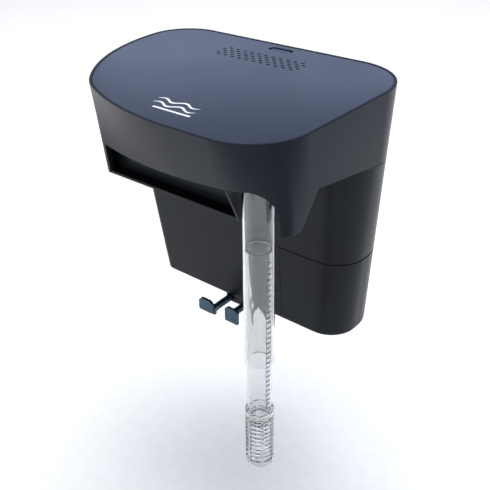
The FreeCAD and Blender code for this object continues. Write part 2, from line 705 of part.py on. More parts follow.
keep("motor_stator", turned("MotorStator", [
    ("well_radius + well_wall + touch_gap", "tank_floor + tank_wall + stator_lift"),
    ("can_radius - can_wall - 2 * touch_gap", "tank_floor + tank_wall + stator_lift"),
    ("can_radius - can_wall - 2 * touch_gap", "can_top - can_wall - fit_gap"),
    ("well_radius + well_wall + touch_gap", "can_top - can_wall - fit_gap"),
], pump_place))

# the rotor stands on a rubber cup in the well and spins on a fixed ceramic shaft
keep("lower_bushing", turned("LowerBushing", [
    ("shaft_radius", well_floor),
    ("well_radius - touch_gap", well_floor),
    ("well_radius - touch_gap", well_floor + " + bushing_high"),
    ("shaft_radius", well_floor + " + bushing_high"),
], pump_place))

keep("ceramic_shaft", rod(
    "CeramicShaft", "shaft_radius", "can_top + volute_high - bushing_high - fit_gap - (%s)"
    % well_floor, ("pump_x", "pump_y", well_floor + " + touch_gap")))

keep("rotor_magnet", turned("RotorMagnet", [
    ("shaft_radius + shaft_play", well_floor + " + bushing_high + fit_gap"),
    ("magnet_radius", well_floor + " + bushing_high + fit_gap"),
    ("magnet_radius", "can_top"),
    ("shaft_radius + shaft_play", "can_top"),
], pump_place))


def impeller_wheel():
    low, high = size("can_top + 2 * fit_gap"), size("can_top + wheel_high")
    hub_radius = size("hub_radius")
    radius, thick = size("wheel_radius"), size("blade_thick")
    disc = upright(radius, low, low + size("wheel_disc"), pump)
    hub = upright(hub_radius, size("can_top"), high, pump)
    blades = []
    for k in range(int(size("blade_count"))):
        blade = Part.makeBox(radius - hub_radius + thick, thick, high - low,
                             V(hub_radius - thick, hub_radius / 2 - thick / 2, low))
        blade.rotate(V(), V(0, 0, 1), 360.0 * k / size("blade_count"))
        blade.translate(V(pump[0], pump[1], 0))
        blades.append(blade.common(upright(radius, low, high, pump)))
    wheel = disc.fuse([hub] + blades).removeSplitter()
    return wheel.cut(upright(size("shaft_radius + shaft_play"), low - shelf, high + shelf,
                             pump)).Solids[0]


keep("impeller_wheel", shaped("ImpellerWheel", impeller_wheel()))


def volute_cover():
    """Cover over the impeller, with the inlet socket and the outlet neck on top."""
    low = size("can_top + touch_gap")
    high = low + size("volute_high")
    neck_high = cup_top + shelf + size("neck_rise")
    outlet = (size("outlet_x"), pump[1])
    radius, thin, roof = size("outlet_radius"), size("duct_wall"), size("volute_roof")
    body = upright(size("can_radius"), low, high, pump).fuse([
        Part.makeBox(pump[0] - outlet[0], 2 * radius, high - low,
                     V(outlet[0], pump[1] - radius, low)),
        upright(radius, low, neck_high, outlet),
        upright(size("socket_radius"), low, neck_high, pump)])
    stop = high + size("volute_wall")
    room = upright(size("can_radius - volute_wall"), low - roof, high - roof, pump).fuse([
        Part.makeBox(pump[0] - outlet[0], 2 * (radius - thin), high - low - 2 * roof,
                     V(outlet[0], pump[1] - radius + thin, low + roof)),
        upright(radius - thin, low + roof, neck_high + roof, outlet),
        upright(size("elbow_radius + fit_gap"), stop, neck_high + roof, pump),
        upright(size("elbow_radius - elbow_wall"), high - 2 * roof, stop + fit, pump)])
    cover = body.cut(room)
    # three spokes carry the top end of the shaft
    thick, bushing = size("spoke_thick"), size("bushing_radius")
    eye_low = high - roof - size("bushing_high")
    eye_high = high - roof - touch
    eye = upright(size("eye_radius"), eye_low, eye_high, pump)
    spokes = [Part.makeBox(size("can_radius - duct_wall"), thick, thick,
                           V(0, -thick / 2, eye_high - thick)) for _ in range(3)]
    for k, spoke in enumerate(spokes):
        spoke.rotate(V(), V(0, 0, 1), 60 + 120 * k)
        spoke.translate(V(pump[0], pump[1], 0))
    cover = cover.fuse([eye] + spokes).removeSplitter()
    return cover.cut(upright(bushing, eye_low - roof, eye_high - thick / 2, pump)).Solids[0]


keep("volute_cover", shaped("VoluteCover", volute_cover()))
eye_floor = "can_top + volute_high - volute_roof - bushing_high + fit_gap"
eye_roof = "can_top + volute_high - volute_roof - spoke_thick / 2 - touch_gap"
keep("upper_bushing", turned("UpperBushing", [
    ("shaft_radius", eye_floor),
    ("bushing_radius - touch_gap / 2", eye_floor),
    ("bushing_radius - touch_gap / 2", eye_roof),
    ("shaft_radius", eye_roof),
], pump_place))

seal_low = "cup_top + shelf_thick + neck_rise + touch_gap"
keep("inlet_seal", turned("InletSeal", [
    ("elbow_radius + touch_gap / 2", seal_low),
    ("socket_radius + touch_gap", seal_low),
    ("socket_radius + touch_gap", seal_low + " + seal_thick"),
    ("elbow_radius + touch_gap / 2", seal_low + " + seal_thick"),
], pump_place))

# ---------------------------------------------------------------- intake run

tube_place = ("tube_x", "tube_y", "0")
tube = (size("tube_x"), size("tube_y"))


def intake_elbow():
    """Pipe from the tank's tube, over the rim and down to the pump."""
    span = math.hypot(pump[0] - tube[0], pump[1] - tube[1])
    level, bend = size("elbow_level"), size("elbow_bend")
    low_near = size("tube_top") - size("spigot_drop")
    low_far = size("can_top + volute_high + volute_wall + 2 * fit_gap")
    rise = level - bend
    c45 = bend * math.sqrt(0.5)
    near = Part.Arc(V(0, 0, rise), V(bend - c45, 0, rise + c45), V(bend, 0, level)).toShape()
    far = Part.Arc(V(span - bend, 0, level), V(span - bend + c45, 0, rise + c45),
                   V(span, 0, rise)).toShape()
    spine = Part.Wire([Part.makeLine(V(0, 0, low_near), V(0, 0, rise)), near,
                       Part.makeLine(V(bend, 0, level), V(span - bend, 0, level)), far,
                       Part.makeLine(V(span, 0, rise), V(span, 0, low_far))])
    skins = []
    for radius in (size("elbow_radius"), size("elbow_radius - elbow_wall")):
        ring = Part.Wire(Part.makeCircle(radius, V(0, 0, low_near), V(0, 0, 1)))
        skins.append(spine.makePipeShell([ring], True, False))
    pipe = skins[0].cut(skins[1])
    heading = math.degrees(math.atan2(pump[1] - tube[1], pump[0] - tube[0]))
    pipe.rotate(V(), V(0, 0, 1), heading)
    pipe.translate(V(tube[0], tube[1], 0))
    return pipe.Solids[0]


keep("intake_elbow", shaped("IntakeElbow", intake_elbow()))

keep("upper_intake_tube", turned("UpperIntakeTube", [
    ("tube_radius - tube_wall", "tube_end"),
    ("tube_radius - tube_chamfer", "tube_end"),
    ("tube_radius", "tube_end + tube_chamfer"),
    ("tube_radius", "tube_top"),
    ("tube_radius - tube_wall", "tube_top"),
], tube_place))


def elbow_collar():
    """Socket ring that grips the tube on the elbow's spigot."""
    low, high = size("tube_top + touch_gap"), size("tube_top + touch_gap + collar_thick")
    ring = upright(size("tube_radius + collar_reach"), low, high, tube)
    return ring.cut(upright(size("elbow_radius") + touch / 2, low - fit, high + fit, tube))


keep("elbow_collar", shaped("ElbowCollar", elbow_collar()))


def lower_intake_tube():
    """Sliding tube with a toothed strip down one side and a stop ring at the top."""
    radius, bore = size("inner_radius"), size("inner_radius - inner_wall")
    low, high = size("inner_end"), size("inner_top")
    body = upright(radius, low, high, tube)
    room = size("tube_radius - tube_wall - touch_gap")
    body = body.fuse(upright(room, high - size("ring_high"), high, tube))
    body = body.cut(upright(bore, low - fit, high + fit, tube))
    wide, tooth, pitch = size("rack_wide"), size("rack_tooth"), size("rack_pitch")
    start = radius - size("rack_sink")
    level, margin = size("strainer_top + rack_margin"), size("rack_margin")
    strip = Part.makeBox(size("rack_base"), wide, high - margin - level,
                         V(start, -wide / 2, level))
    teeth = []
    while level < high - margin - pitch / 2:
        teeth.append(Part.makeBox(tooth, wide, pitch * size("rack_fill"), V(start, -wide / 2, level)))
        level += pitch
    rack = strip.fuse(teeth).common(upright(room - touch / 2, low, high, (0, 0)))
    rack.rotate(V(), V(0, 0, 1), size("rack_turn"))
    rack.translate(V(tube[0], tube[1], 0))
    return body.fuse(rack).removeSplitter().Solids[0]


keep("lower_intake_tube", shaped("LowerIntakeTube", lower_intake_tube()))


def intake_strainer():
    """Slotted cup: rings of slots between upright ribs, under a plain socket."""
    radius, thin = size("strainer_radius"), size("strainer_wall")
    low, high = size("strainer_end"), size("strainer_top")
    cup = upright(radius, low, high, tube)
    cup = cup.makeFillet(size("strainer_round"), [e for e in cup.Edges
                                                  if abs(e.BoundBox.ZMax - low) < 1e-6])
    neck_low = size("inner_end") - fit
    cup = cup.cut(upright(radius - thin, low + thin, neck_low - thin, tube))
    cup = cup.cut(upright(size("inner_radius - strainer_lip"), low + thin, neck_low + fit, tube))
    cup = cup.cut(upright(size("inner_radius") + touch / 2, neck_low, high + thin, tube))
    slots = []
    level, margin, slot_high = low + size("slot_margin"), size("slot_margin"), size("slot_high")
    while level < high - margin:
        slots.append(upright(radius + thin, level, level + slot_high, tube).cut(
            upright(radius - 2 * thin, level - thin, level + slot_high + thin, tube)))
        level += size("slot_pitch")
    ribs = []
    for k in range(int(size("strainer_ribs"))):
        rib = Part.makeBox(2 * radius, size("rib_wide"), high - low,
                           V(0, -size("rib_wide") / 2, low))
        rib.rotate(V(), V(0, 0, 1), 360.0 * k / size("strainer_ribs") + size("rib_turn"))
        rib.translate(V(tube[0], tube[1], 0))
        ribs.append(rib)
    rings = Part.makeCompound(slots).cut(Part.makeCompound(ribs))
    return cup.cut(rings).Solids[0]


keep("intake_strainer", shaped("IntakeStrainer", intake_strainer()))

# ---------------------------------------------------------------- media

media_low = "tank_floor + tank_wall + fit_gap"


def media_frame(name, left):
    """Rigid frame with two cross bars and a pull loop, open to both sides."""
    tall = "media_top - (%s)" % media_low
    outer = box(name + "Outer", ("pad_thick", "media_back - media_front", tall),
                (left, "media_front", media_low))
    window = box(name + "Window", ("pad_thick + 2 * frame_bar",
                                   "media_back - media_front - 2 * frame_bar",
                                   tall + " - 2 * frame_bar"),
                 (left + " - frame_bar", "media_front + frame_bar", media_low + " + frame_bar"))
    middle = "(media_front + media_back) / 2"
    loop = box(name + "Loop", ("loop_thick", "loop_wide", "loop_high + frame_bar / 2"),
               (left + " + pad_thick / 2 - loop_thick / 2", middle + " - loop_wide / 2",
                "media_top - frame_bar / 2"))
    finger = box(name + "Finger", ("2 * loop_thick", "loop_wide - 2 * loop_bar",
                                   "loop_high - loop_bar - frame_bar / 2"),
                 (left + " + pad_thick / 2 - loop_thick",
                  middle + " - loop_wide / 2 + loop_bar", "media_top + frame_bar / 2"))
    return cut(name, join(name + "Solid", cut(name + "Ring", outer, window), loop), finger)


def media_foam(name, left):
    tall = "media_top - (%s) - 2 * frame_bar - 2 * fit_gap" % media_low
    return box(name, ("pad_thick - 6 * fit_gap",
                      "media_back - media_front - 2 * frame_bar - 2 * fit_gap", tall),
               (left + " + 3 * fit_gap", "media_front + frame_bar + fit_gap",
                media_low + " + frame_bar + fit_gap"))


for number, left in (("one", "pad_one_left"), ("two", "pad_two_left")):
    keep("foam_frame_" + number, media_frame("FoamFrame" + number.title(), left))
    keep("filter_foam_" + number, media_foam("FilterFoam" + number.title(), left))


def media_basket():
    left, right = size("basket_left"), size("basket_right")
    fore, rear = size("media_front"), size("media_back")
    low, high, thin = size(media_low), size("media_top"), size("basket_wall")
    shell = Part.makeBox(right - left, rear - fore, high - low, V(left, fore, low))
    shell = shell.cut(Part.makeBox(right - left - 2 * thin, rear - fore - 2 * thin, high - low,
                                   V(left + thin, fore + thin, low + thin)))
    slots = []
    cell, cell_high, margin = size("cell_long"), size("cell_high"), size("cell_margin")
    level = low + margin
    while level < high - margin - cell_high:
        for y in (fore + margin, rear - margin - cell):
            slots.append(Part.makeBox(right - left + 2 * thin, cell, cell_high,
                                      V(left - thin, y, level)))
        level += size("cell_pitch")
    return shell.cut(Part.makeCompound(slots)).Solids[0]


keep("media_basket", shaped("MediaBasket", media_basket()))


def ceramic_rings():
    radius, long = size("ring_radius"), size("ring_long")
    left = size("basket_left + basket_wall") + fit
    fore = size("media_front + basket_wall") + fit
    low = size(media_low) + size("basket_wall") + fit
    step = 2 * radius + fit
    across_count = int((size("basket_right - basket_left - 2 * basket_wall") - fit) / step)
    deep_count = int((size("media_back - media_front - 2 * basket_wall") - fit) / (long + fit))
    rings = []
    layers = int((size("media_top") - low) / step)
    for layer in range(layers):
        for i in range(across_count):
            for j in range(deep_count):
                start = V(left + radius + i * step, fore + j * (long + fit),
                          low + radius + layer * step)
                ring = Part.makeCylinder(radius, long, start, V(0, 1, 0))
                rings.append(ring.cut(Part.makeCylinder(size("ring_bore"), long, start,
                                                        V(0, 1, 0))))
    return Part.makeCompound(rings)


keep("ceramic_rings", shaped("CeramicRings", ceramic_rings()))

# ---------------------------------------------------------------- spacers

guide_top = floor_z - touch


def toothed_bar(centre_x, pad_y):
    """Bar with teeth along both sides and a collar behind the pad."""
    wide, high, level = size("spacer_bar_wide"), size("spacer_bar_high"), size("spacer_z")
    start, end = pad_y + size("spacer_pad_thick") + touch / 2, size("spacer_tail_y")
    bar = Part.makeBox(wide, end - start, high, V(centre_x - wide / 2, start, level - high / 2))
    notches = []
    y = start + size("tooth_start")
    deep, pitch = size("tooth_deep"), size("tooth_pitch")
    while y < end - size("tooth_end"):
        for side in (-1, 1):
            x = centre_x + side * wide / 2 - (deep if side > 0 else 0)
            notches.append(Part.makeBox(deep, pitch / 2, high + 2 * deep,
                                        V(x, y, level - high / 2 - deep)))
        y += pitch
    rim = size("bar_collar")
    collar = Part.makeBox(wide + 2 * rim, size("bar_collar_long"), high + 2 * rim,
                          V(centre_x - wide / 2 - rim, start, level - high / 2 - rim))
    nose = Part.makeCylinder(size("nose_radius"), size("nose_long"),
                             V(centre_x, start + touch / 2 - size("nose_long"), level),
                             V(0, 1, 0))
    return bar.cut(Part.makeCompound(notches)).fuse([collar, nose]).removeSplitter().Solids[0]


def spacer_pad(centre_x, bar_x, pad_y, low, high, wide):
    """Flat pad that bears on the glass, with two corners cut off at the top."""
    thick, snip = size("spacer_pad_thick"), size("pad_snip")
    left, right = centre_x - wide / 2, centre_x + wide / 2
    outline = [(left, low), (right, low), (right, high - snip), (right - snip, high),
               (left + snip, high), (left, high - snip)]
    pad = through(outline, pad_y, pad_y + thick)
    pad = pad.makeFillet(size("pad_round"), [e for e in pad.Edges
                                             if abs(e.BoundBox.YLength - thick) < 1e-6])
    socket = Part.makeCylinder(size("nose_radius") + touch / 2, thick,
                               V(bar_x, pad_y + thick - size("nose_long") - touch / 2,
                                 size("spacer_z")), V(0, 1, 0))
    return pad.cut(socket).Solids[0]


def spacer_guides():
    """Two sleeves under the tank's floor, with an inside that the bars slide in."""
    wide, high = size("spacer_bar_wide"), size("spacer_bar_high")
    level, rim = size("spacer_z"), size("guide_wall")
    low = level - high / 2 - fit - rim
    left, right = size("spacer_left_x"), size("spacer_right_x")
    outer = Part.makeBox(right - left + wide + 2 * (fit + rim), size("guide_long"),
                         guide_top - low, V(left - wide / 2 - fit - rim, size("guide_front"),
                                            low))
    for centre_x in (left, right):
        outer = outer.cut(Part.makeBox(wide + 2 * fit, size("guide_long") + 2 * rim,
                                       high + 2 * fit, V(centre_x - wide / 2 - fit,
                                                         size("guide_front") - rim,
                                                         level - high / 2 - fit)))
    return outer.Solids[0]


keep("spacer_guides", shaped("SpacerGuides", spacer_guides()))
for side in ("left", "right"):
    bar_x, pad_y = size("spacer_%s_x" % side), size("%s_pad_y" % side)
    keep("spacer_bar_" + side, shaped("SpacerBar" + side.title(), toothed_bar(bar_x, pad_y)))
    keep("spacer_pad_" + side, shaped("SpacerPad" + side.title(), spacer_pad(
        bar_x + size("%s_pad_shift" % side), bar_x, pad_y,
        size("spacer_z - %s_pad_low" % side), size("spacer_z + %s_pad_high" % side),
        size("%s_pad_wide" % side))))

# ---------------------------------------------------------------- cable gland

gland_turn = ((1, 0, 0), -90)
gland_body = rod("GlandBody", "gland_radius - gland_lip - touch_gap", "gland_long",
                 (gland_x, "hood_back - tank_wall - gland_inside", "gland_z"), gland_turn)
gland_flange = rod("GlandFlange", "gland_radius", "gland_flange",
                   (gland_x, "hood_back + touch_gap", "gland_z"), gland_turn)
gland_bore = rod("GlandBore", "gland_bore", "gland_long + 2 * gland_lip",
                 (gland_x, "hood_back - tank_wall - gland_inside - gland_lip", "gland_z"),
                 gland_turn)
keep("cable_gland", cut("CableGland", join("GlandSolid", gland_body, gland_flange), gland_bore))

# ---------------------------------------------------------------- check and export

doc.recompute()
faults = []
for obj in doc.Objects:
    if any(word in state for state in obj.State for word in ("Invalid", "Error")):
        faults.append("%s: %s" % (obj.Name, obj.State))
for label, obj in parts.items():
    shape = obj.Shape
    if shape.isNull() or not shape.isValid() or not shape.Solids:
        faults.append("%s: bad shape" % label)
if faults:
    raise SystemExit("\n".join(faults))

for label, obj in parts.items():
    obj.Shape.exportStep("parts/%s.step" % label)
    box_of = obj.Shape.BoundBox
    print("%-20s solids %2d  x %7.1f %7.1f  y %7.1f %7.1f  z %7.1f %7.1f" % (
        label, len(obj.Shape.Solids), box_of.XMin, box_of.XMax, box_of.YMin, box_of.YMax,
        box_of.ZMin, box_of.ZMax))
print(len(parts), "sub-parts")
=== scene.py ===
import json
import math

import bpy
from bpy.props import FloatProperty, PointerProperty
from mathutils import Matrix, Vector

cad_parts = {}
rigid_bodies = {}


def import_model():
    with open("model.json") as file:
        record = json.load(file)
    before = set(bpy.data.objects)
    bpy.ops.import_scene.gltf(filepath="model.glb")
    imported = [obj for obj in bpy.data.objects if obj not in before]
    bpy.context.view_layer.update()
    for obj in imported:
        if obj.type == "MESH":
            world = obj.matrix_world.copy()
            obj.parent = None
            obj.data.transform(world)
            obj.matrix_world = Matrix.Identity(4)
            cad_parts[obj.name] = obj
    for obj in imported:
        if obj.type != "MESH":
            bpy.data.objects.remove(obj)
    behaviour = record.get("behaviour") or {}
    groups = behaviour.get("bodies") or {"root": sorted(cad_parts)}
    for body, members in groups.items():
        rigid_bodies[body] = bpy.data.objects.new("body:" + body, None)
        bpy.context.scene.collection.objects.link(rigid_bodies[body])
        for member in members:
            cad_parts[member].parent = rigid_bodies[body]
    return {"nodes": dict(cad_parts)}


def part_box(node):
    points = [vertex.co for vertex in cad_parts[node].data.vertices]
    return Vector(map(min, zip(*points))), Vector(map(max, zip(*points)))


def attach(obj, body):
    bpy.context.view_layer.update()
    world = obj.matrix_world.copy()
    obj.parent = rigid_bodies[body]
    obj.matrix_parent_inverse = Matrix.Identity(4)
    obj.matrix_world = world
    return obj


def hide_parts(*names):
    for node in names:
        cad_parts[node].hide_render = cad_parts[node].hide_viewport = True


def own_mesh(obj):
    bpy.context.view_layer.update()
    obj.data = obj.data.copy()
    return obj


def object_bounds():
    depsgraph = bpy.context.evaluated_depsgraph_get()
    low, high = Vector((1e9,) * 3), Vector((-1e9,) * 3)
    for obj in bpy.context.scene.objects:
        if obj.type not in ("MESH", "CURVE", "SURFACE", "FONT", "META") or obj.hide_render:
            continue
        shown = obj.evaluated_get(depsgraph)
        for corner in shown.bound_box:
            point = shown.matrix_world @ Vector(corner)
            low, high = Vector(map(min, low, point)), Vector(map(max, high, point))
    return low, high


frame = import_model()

bl_info = {
    "name": "Hang-on tank filter",
    "version": (1, 0, 0),
    "blender": (4, 5, 0),
    "location": "View3D > Sidebar > Filter",
    "description": "Builds the finished look of a hang-on-back aquarium filter round its frame",
    "category": "Object",
}

CAD_BOX = [list(corner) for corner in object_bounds()]
MM = 0.001

# copies of nodes: points this close are one, faces this flat are merged, and edges sharper
# than this are eased
MERGE_GAP = 0.002 * MM
FLAT_DEGREES = 0.4
SHARP_DEGREES = 38

# printed mark: name, middle, share of the waves' length, and whether it waves
MARK_ROWS = (("printed_wave", (0.0215, -0.0555), 1.0, True),
             ("second_wave", (0.0235, -0.0635), 1.0, True),
             ("under_bar", (0.028, -0.0712), 0.88, False))
MARK_CUTS = 60
MARK_TAPER = 0.75

# foam blocks: room round them, radius of their edges, size of their mesh, and size and depth
# of the unevenness that the cut cells leave
FOAM_INSET = 0.3 * MM
FOAM_CORNER = 1.6 * MM
FOAM_VOXEL = 1.6 * MM
FOAM_CELL = 2.6 * MM
FOAM_DEPTH = 0.7 * MM

# studio lights: name, place, what it points at, width, height, which of the stage's powers it
# takes, and its colour
LIGHTS = (("ceiling_softbox", (-0.2, 0.5, 3.6), (0, 0.1, 0), 4.2, 4.2, "key_power", "#ffffff"),
          ("left_strip", (-1.36, -0.38, -0.02), (0.05, -0.06, -0.05), 0.2, 0.9,
           "strip_power", "#ffffff"),
          ("right_window", (1.35, 0.45, 0.25), (0, 0, -0.05), 0.3, 0.9,
           "side_power", "#9dbbff"),
          ("front_fill", (-0.3, -1.8, -0.04), (-0.02, 0, 0), 0.9, 0.4,
           "fill_power", "#ffffff"),
          ("corner_strip", (0.82, -1.0, -0.16), (0.1, 0, -0.08), 0.12, 0.5,
           "corner_power", "#ffffff"),
          ("back_window", (-1.2, 1.7, 0.68), (0, 0, 0.05), 1.4, 0.26,
           "back_power", "#c6d8ff"))
FLOOR_SIZE = 14

# camera: its place, its turn, rise and roll in degrees, its lens and sensor in millimetres,
# and how near it sees
CAMERA_PLACE = Vector((0.39655, -0.43900, 0.25250))
CAMERA_ANGLES = (39.3, 30.6, -0.84)
CAMERA_LENS = 55.18
CAMERA_SENSOR = 36
CAMERA_NEAR = 0.01


# ---------------------------------------------------------------- colour and nodes

def linear(hex_colour, alpha=1.0):
    """Linear RGBA of an sRGB hex colour."""
    text = hex_colour.lstrip("#")
    channels = []
    for start in (0, 2, 4):
        value = int(text[start:start + 2], 16) / 255.0
        channels.append(value / 12.92 if value <= 0.04045 else ((value + 0.055) / 1.055) ** 2.4)
    return (*channels, alpha)


def add_node(tree, kind, settings=(), links=()):
    """Adds one node: settings name its inputs or its own properties, links name an input and
    the (node, output) that feeds it."""
    node = tree.nodes.new(kind)
    for key, value in dict(settings).items():
        if key == "stops":
            ramp = node.color_ramp
            ramp.elements[0].position, ramp.elements[0].color = value[0]
            ramp.elements[1].position, ramp.elements[1].color = value[-1]
            for place, colour in value[1:-1]:
                ramp.elements.new(place).color = colour
        elif key in node.inputs:
            node.inputs[key].default_value = value
        else:
            setattr(node, key, value)
    for key, (source, output) in dict(links).items():
        tree.links.new(source.outputs[output], node.inputs[key])
    return node


def started(name):
    """A new material, its emptied node tree, and its output node."""
    material = bpy.data.materials.new(name)
    material.use_nodes = True
    tree = material.node_tree
    tree.nodes.clear()
    return material, tree, add_node(tree, "ShaderNodeOutputMaterial")


def per_metre(size_mm):
    """Texture scale that gives features of this many millimetres."""
    return 1000.0 / size_mm


# ---------------------------------------------------------------- materials

def moulded_plastic(name, colour, shade, roughness, grain_mm, grain_high_mm, shine=0.25):
    """Injection-moulded plastic from a spark-eroded tool: a fine even grain over a slow drift
    of tone, where the melt cooled unevenly."""
    material, tree, output = started(name)
    place = add_node(tree, "ShaderNodeTexCoord")
    drift = add_node(tree, "ShaderNodeTexNoise",
                     {"Scale": per_metre(60), "Detail": 2.0, "Roughness": 0.4},
                     {"Vector": (place, "Object")})
    tone = add_node(tree, "ShaderNodeValToRGB",
                    {"stops": [(0.32, linear(shade)), (0.7, linear(colour))]},
                    {"Fac": (drift, "Fac")})
    grain = add_node(tree, "ShaderNodeTexNoise",
                     {"Scale": per_metre(grain_mm), "Detail": 3.0, "Roughness": 0.55},
                     {"Vector": (place, "Object")})
    handled = add_node(tree, "ShaderNodeTexNoise",
                       {"Scale": per_metre(75), "Detail": 2.0, "Roughness": 0.45},
                       {"Vector": (place, "Object")})
    gloss = add_node(tree, "ShaderNodeMapRange",
                     {"From Min": 0.3, "From Max": 0.7, "To Min": roughness - 0.02,
                      "To Max": roughness + 0.03}, {"Value": (handled, "Fac")})
    bump = add_node(tree, "ShaderNodeBump", {"Strength": 0.5, "Distance": grain_high_mm * MM},
                    {"Height": (grain, "Fac")})
    surface = add_node(tree, "ShaderNodeBsdfPrincipled",
                       {"IOR": 1.53, "Specular IOR Level": shine},
                       {"Base Color": (tone, "Color"), "Roughness": (gloss, "Result"),
                        "Normal": (bump, "Normal")})
    tree.links.new(surface.outputs["BSDF"], output.inputs["Surface"])
    return material


def petrol_acetal():
    """Acetal resin dyed petrol: a waxy sheen, with a little light let in under the skin."""
    material, tree, output = started("Acetal resin, petrol")
    place = add_node(tree, "ShaderNodeTexCoord")
    flow = add_node(tree, "ShaderNodeTexNoise",
                    {"Scale": per_metre(9), "Detail": 3.0, "Distortion": 0.6},
                    {"Vector": (place, "Object")})
    tone = add_node(tree, "ShaderNodeValToRGB",
                    {"stops": [(0.3, linear("#0b2c3e")), (0.7, linear("#12445b"))]},
                    {"Fac": (flow, "Fac")})
    gloss = add_node(tree, "ShaderNodeMapRange", {"To Min": 0.26, "To Max": 0.4},
                     {"Value": (flow, "Fac")})
    skin = add_node(tree, "ShaderNodeTexNoise", {"Scale": per_metre(0.9), "Detail": 2.0},
                    {"Vector": (place, "Object")})
    bump = add_node(tree, "ShaderNodeBump", {"Strength": 0.35, "Distance": 0.05 * MM},
                    {"Height": (skin, "Fac")})
    surface = add_node(tree, "ShaderNodeBsdfPrincipled",
                       {"IOR": 1.48, "Subsurface Weight": 0.08, "Subsurface Scale": 0.6 * MM},
                       {"Base Color": (tone, "Color"), "Roughness": (gloss, "Result"),
                        "Normal": (bump, "Normal")})
    tree.links.new(surface.outputs["BSDF"], output.inputs["Surface"])
    return material


def clear_acrylic():
    """Extruded acrylic tube: glass clear, with faint draw lines along its length that break
    the highlight, and a cool grey edge."""
    material, tree, output = started("Acrylic, clear extruded")
    place = add_node(tree, "ShaderNodeTexCoord")
    stretch = add_node(tree, "ShaderNodeMapping", {"Scale": (1.0, 1.0, 0.004)},
                       {"Vector": (place, "Object")})
    lines = add_node(tree, "ShaderNodeTexNoise", {"Scale": per_metre(2.2), "Detail": 3.0},
                     {"Vector": (stretch, "Vector")})
    bump = add_node(tree, "ShaderNodeBump", {"Strength": 0.05, "Distance": 0.03 * MM},
                    {"Height": (lines, "Fac")})
    gloss = add_node(tree, "ShaderNodeMapRange", {"To Min": 0.0, "To Max": 0.02},
                     {"Value": (lines, "Fac")})
    surface = add_node(tree, "ShaderNodeBsdfPrincipled",
                       {"Base Color": linear("#eff0f0"), "IOR": 1.49,
                        "Transmission Weight": 1.0},
                       {"Roughness": (gloss, "Result"), "Normal": (bump, "Normal")})
    tree.links.new(surface.outputs["BSDF"], output.inputs["Surface"])
    return material


def matt_acrylic():
    """Acrylic moulded in a blasted tool: the strip's teeth are matt, and greyer than the tube
    that they stand on."""
    material, tree, output = started("Acrylic, matt moulded")
    place = add_node(tree, "ShaderNodeTexCoord")
    frost = add_node(tree, "ShaderNodeTexNoise", {"Scale": per_metre(1.5), "Detail": 2.0},
                     {"Vector": (place, "Object")})
    gloss = add_node(tree, "ShaderNodeMapRange", {"To Min": 0.3, "To Max": 0.45},
                     {"Value": (frost, "Fac")})
    surface = add_node(tree, "ShaderNodeBsdfPrincipled",
                       {"Base Color": linear("#7d8487"), "IOR": 1.49,
                        "Transmission Weight": 0.55}, {"Roughness": (gloss, "Result")})
    tree.links.new(surface.outputs["BSDF"], output.inputs["Surface"])
    return material


def seal_rubber():
    """Moulded EPDM rubber: dull black with a dusty bloom."""
    material, tree, output = started("EPDM rubber, moulded")
    place = add_node(tree, "ShaderNodeTexCoord")
    bloom = add_node(tree, "ShaderNodeTexNoise", {"Scale": per_metre(5), "Detail": 5.0},
                     {"Vector": (place, "Object")})
    tone = add_node(tree, "ShaderNodeValToRGB",
                    {"stops": [(0.35, linear("#141414")), (0.75, linear("#262626"))]},
                    {"Fac": (bloom, "Fac")})
    bump = add_node(tree, "ShaderNodeBump", {"Strength": 0.4, "Distance": 0.08 * MM},
                    {"Height": (bloom, "Fac")})
    surface = add_node(tree, "ShaderNodeBsdfPrincipled", {"Roughness": 0.82, "IOR": 1.5},
                       {"Base Color": (tone, "Color"), "Normal": (bump, "Normal")})
    tree.links.new(surface.outputs["BSDF"], output.inputs["Surface"])
    return material


def drawn_steel(name, colour, roughness, line_mm):
    """Stainless steel, cold headed or drawn to wire: bright, with fine tool lines."""
    material, tree, output = started(name)
    place = add_node(tree, "ShaderNodeTexCoord")
    lines = add_node(tree, "ShaderNodeTexNoise",
                     {"Scale": per_metre(line_mm), "Detail": 4.0, "Roughness": 0.7},
                     {"Vector": (place, "Object")})
    gloss = add_node(tree, "ShaderNodeMapRange",
                     {"To Min": roughness - 0.08, "To Max": roughness + 0.12},
                     {"Value": (lines, "Fac")})
    bump = add_node(tree, "ShaderNodeBump", {"Strength": 0.2, "Distance": 0.03 * MM},
                    {"Height": (lines, "Fac")})
    surface = add_node(tree, "ShaderNodeBsdfPrincipled",
                       {"Base Color": linear(colour), "Metallic": 1.0},
                       {"Roughness": (gloss, "Result"), "Normal": (bump, "Normal")})
    tree.links.new(surface.outputs["BSDF"], output.inputs["Surface"])
    return material


def laminated_iron():
    """Silicon steel sheets, stacked and varnished: a stripe for each sheet, drawn 1 mm thick
    because the real half millimetre would not show."""
    material, tree, output = started("Silicon steel, laminated")
    place = add_node(tree, "ShaderNodeTexCoord")
    sheets = add_node(tree, "ShaderNodeTexWave",
                      {"wave_type": "BANDS", "bands_direction": "Z", "wave_profile": "SIN",
                       "Scale": 0.05 * per_metre(1) * math.pi, "Distortion": 0.0},
                      {"Vector": (place, "Object")})
    tone = add_node(tree, "ShaderNodeValToRGB",
                    {"stops": [(0.25, linear("#2c2a28")), (0.8, linear("#6b655d"))]},
                    {"Fac": (sheets, "Fac")})
    bump = add_node(tree, "ShaderNodeBump", {"Strength": 0.6, "Distance": 0.15 * MM},
                    {"Height": (sheets, "Fac")})
    surface = add_node(tree, "ShaderNodeBsdfPrincipled", {"Metallic": 0.7, "Roughness": 0.45},
                       {"Base Color": (tone, "Color"), "Normal": (bump, "Normal")})
    tree.links.new(surface.outputs["BSDF"], output.inputs["Surface"])
    return material


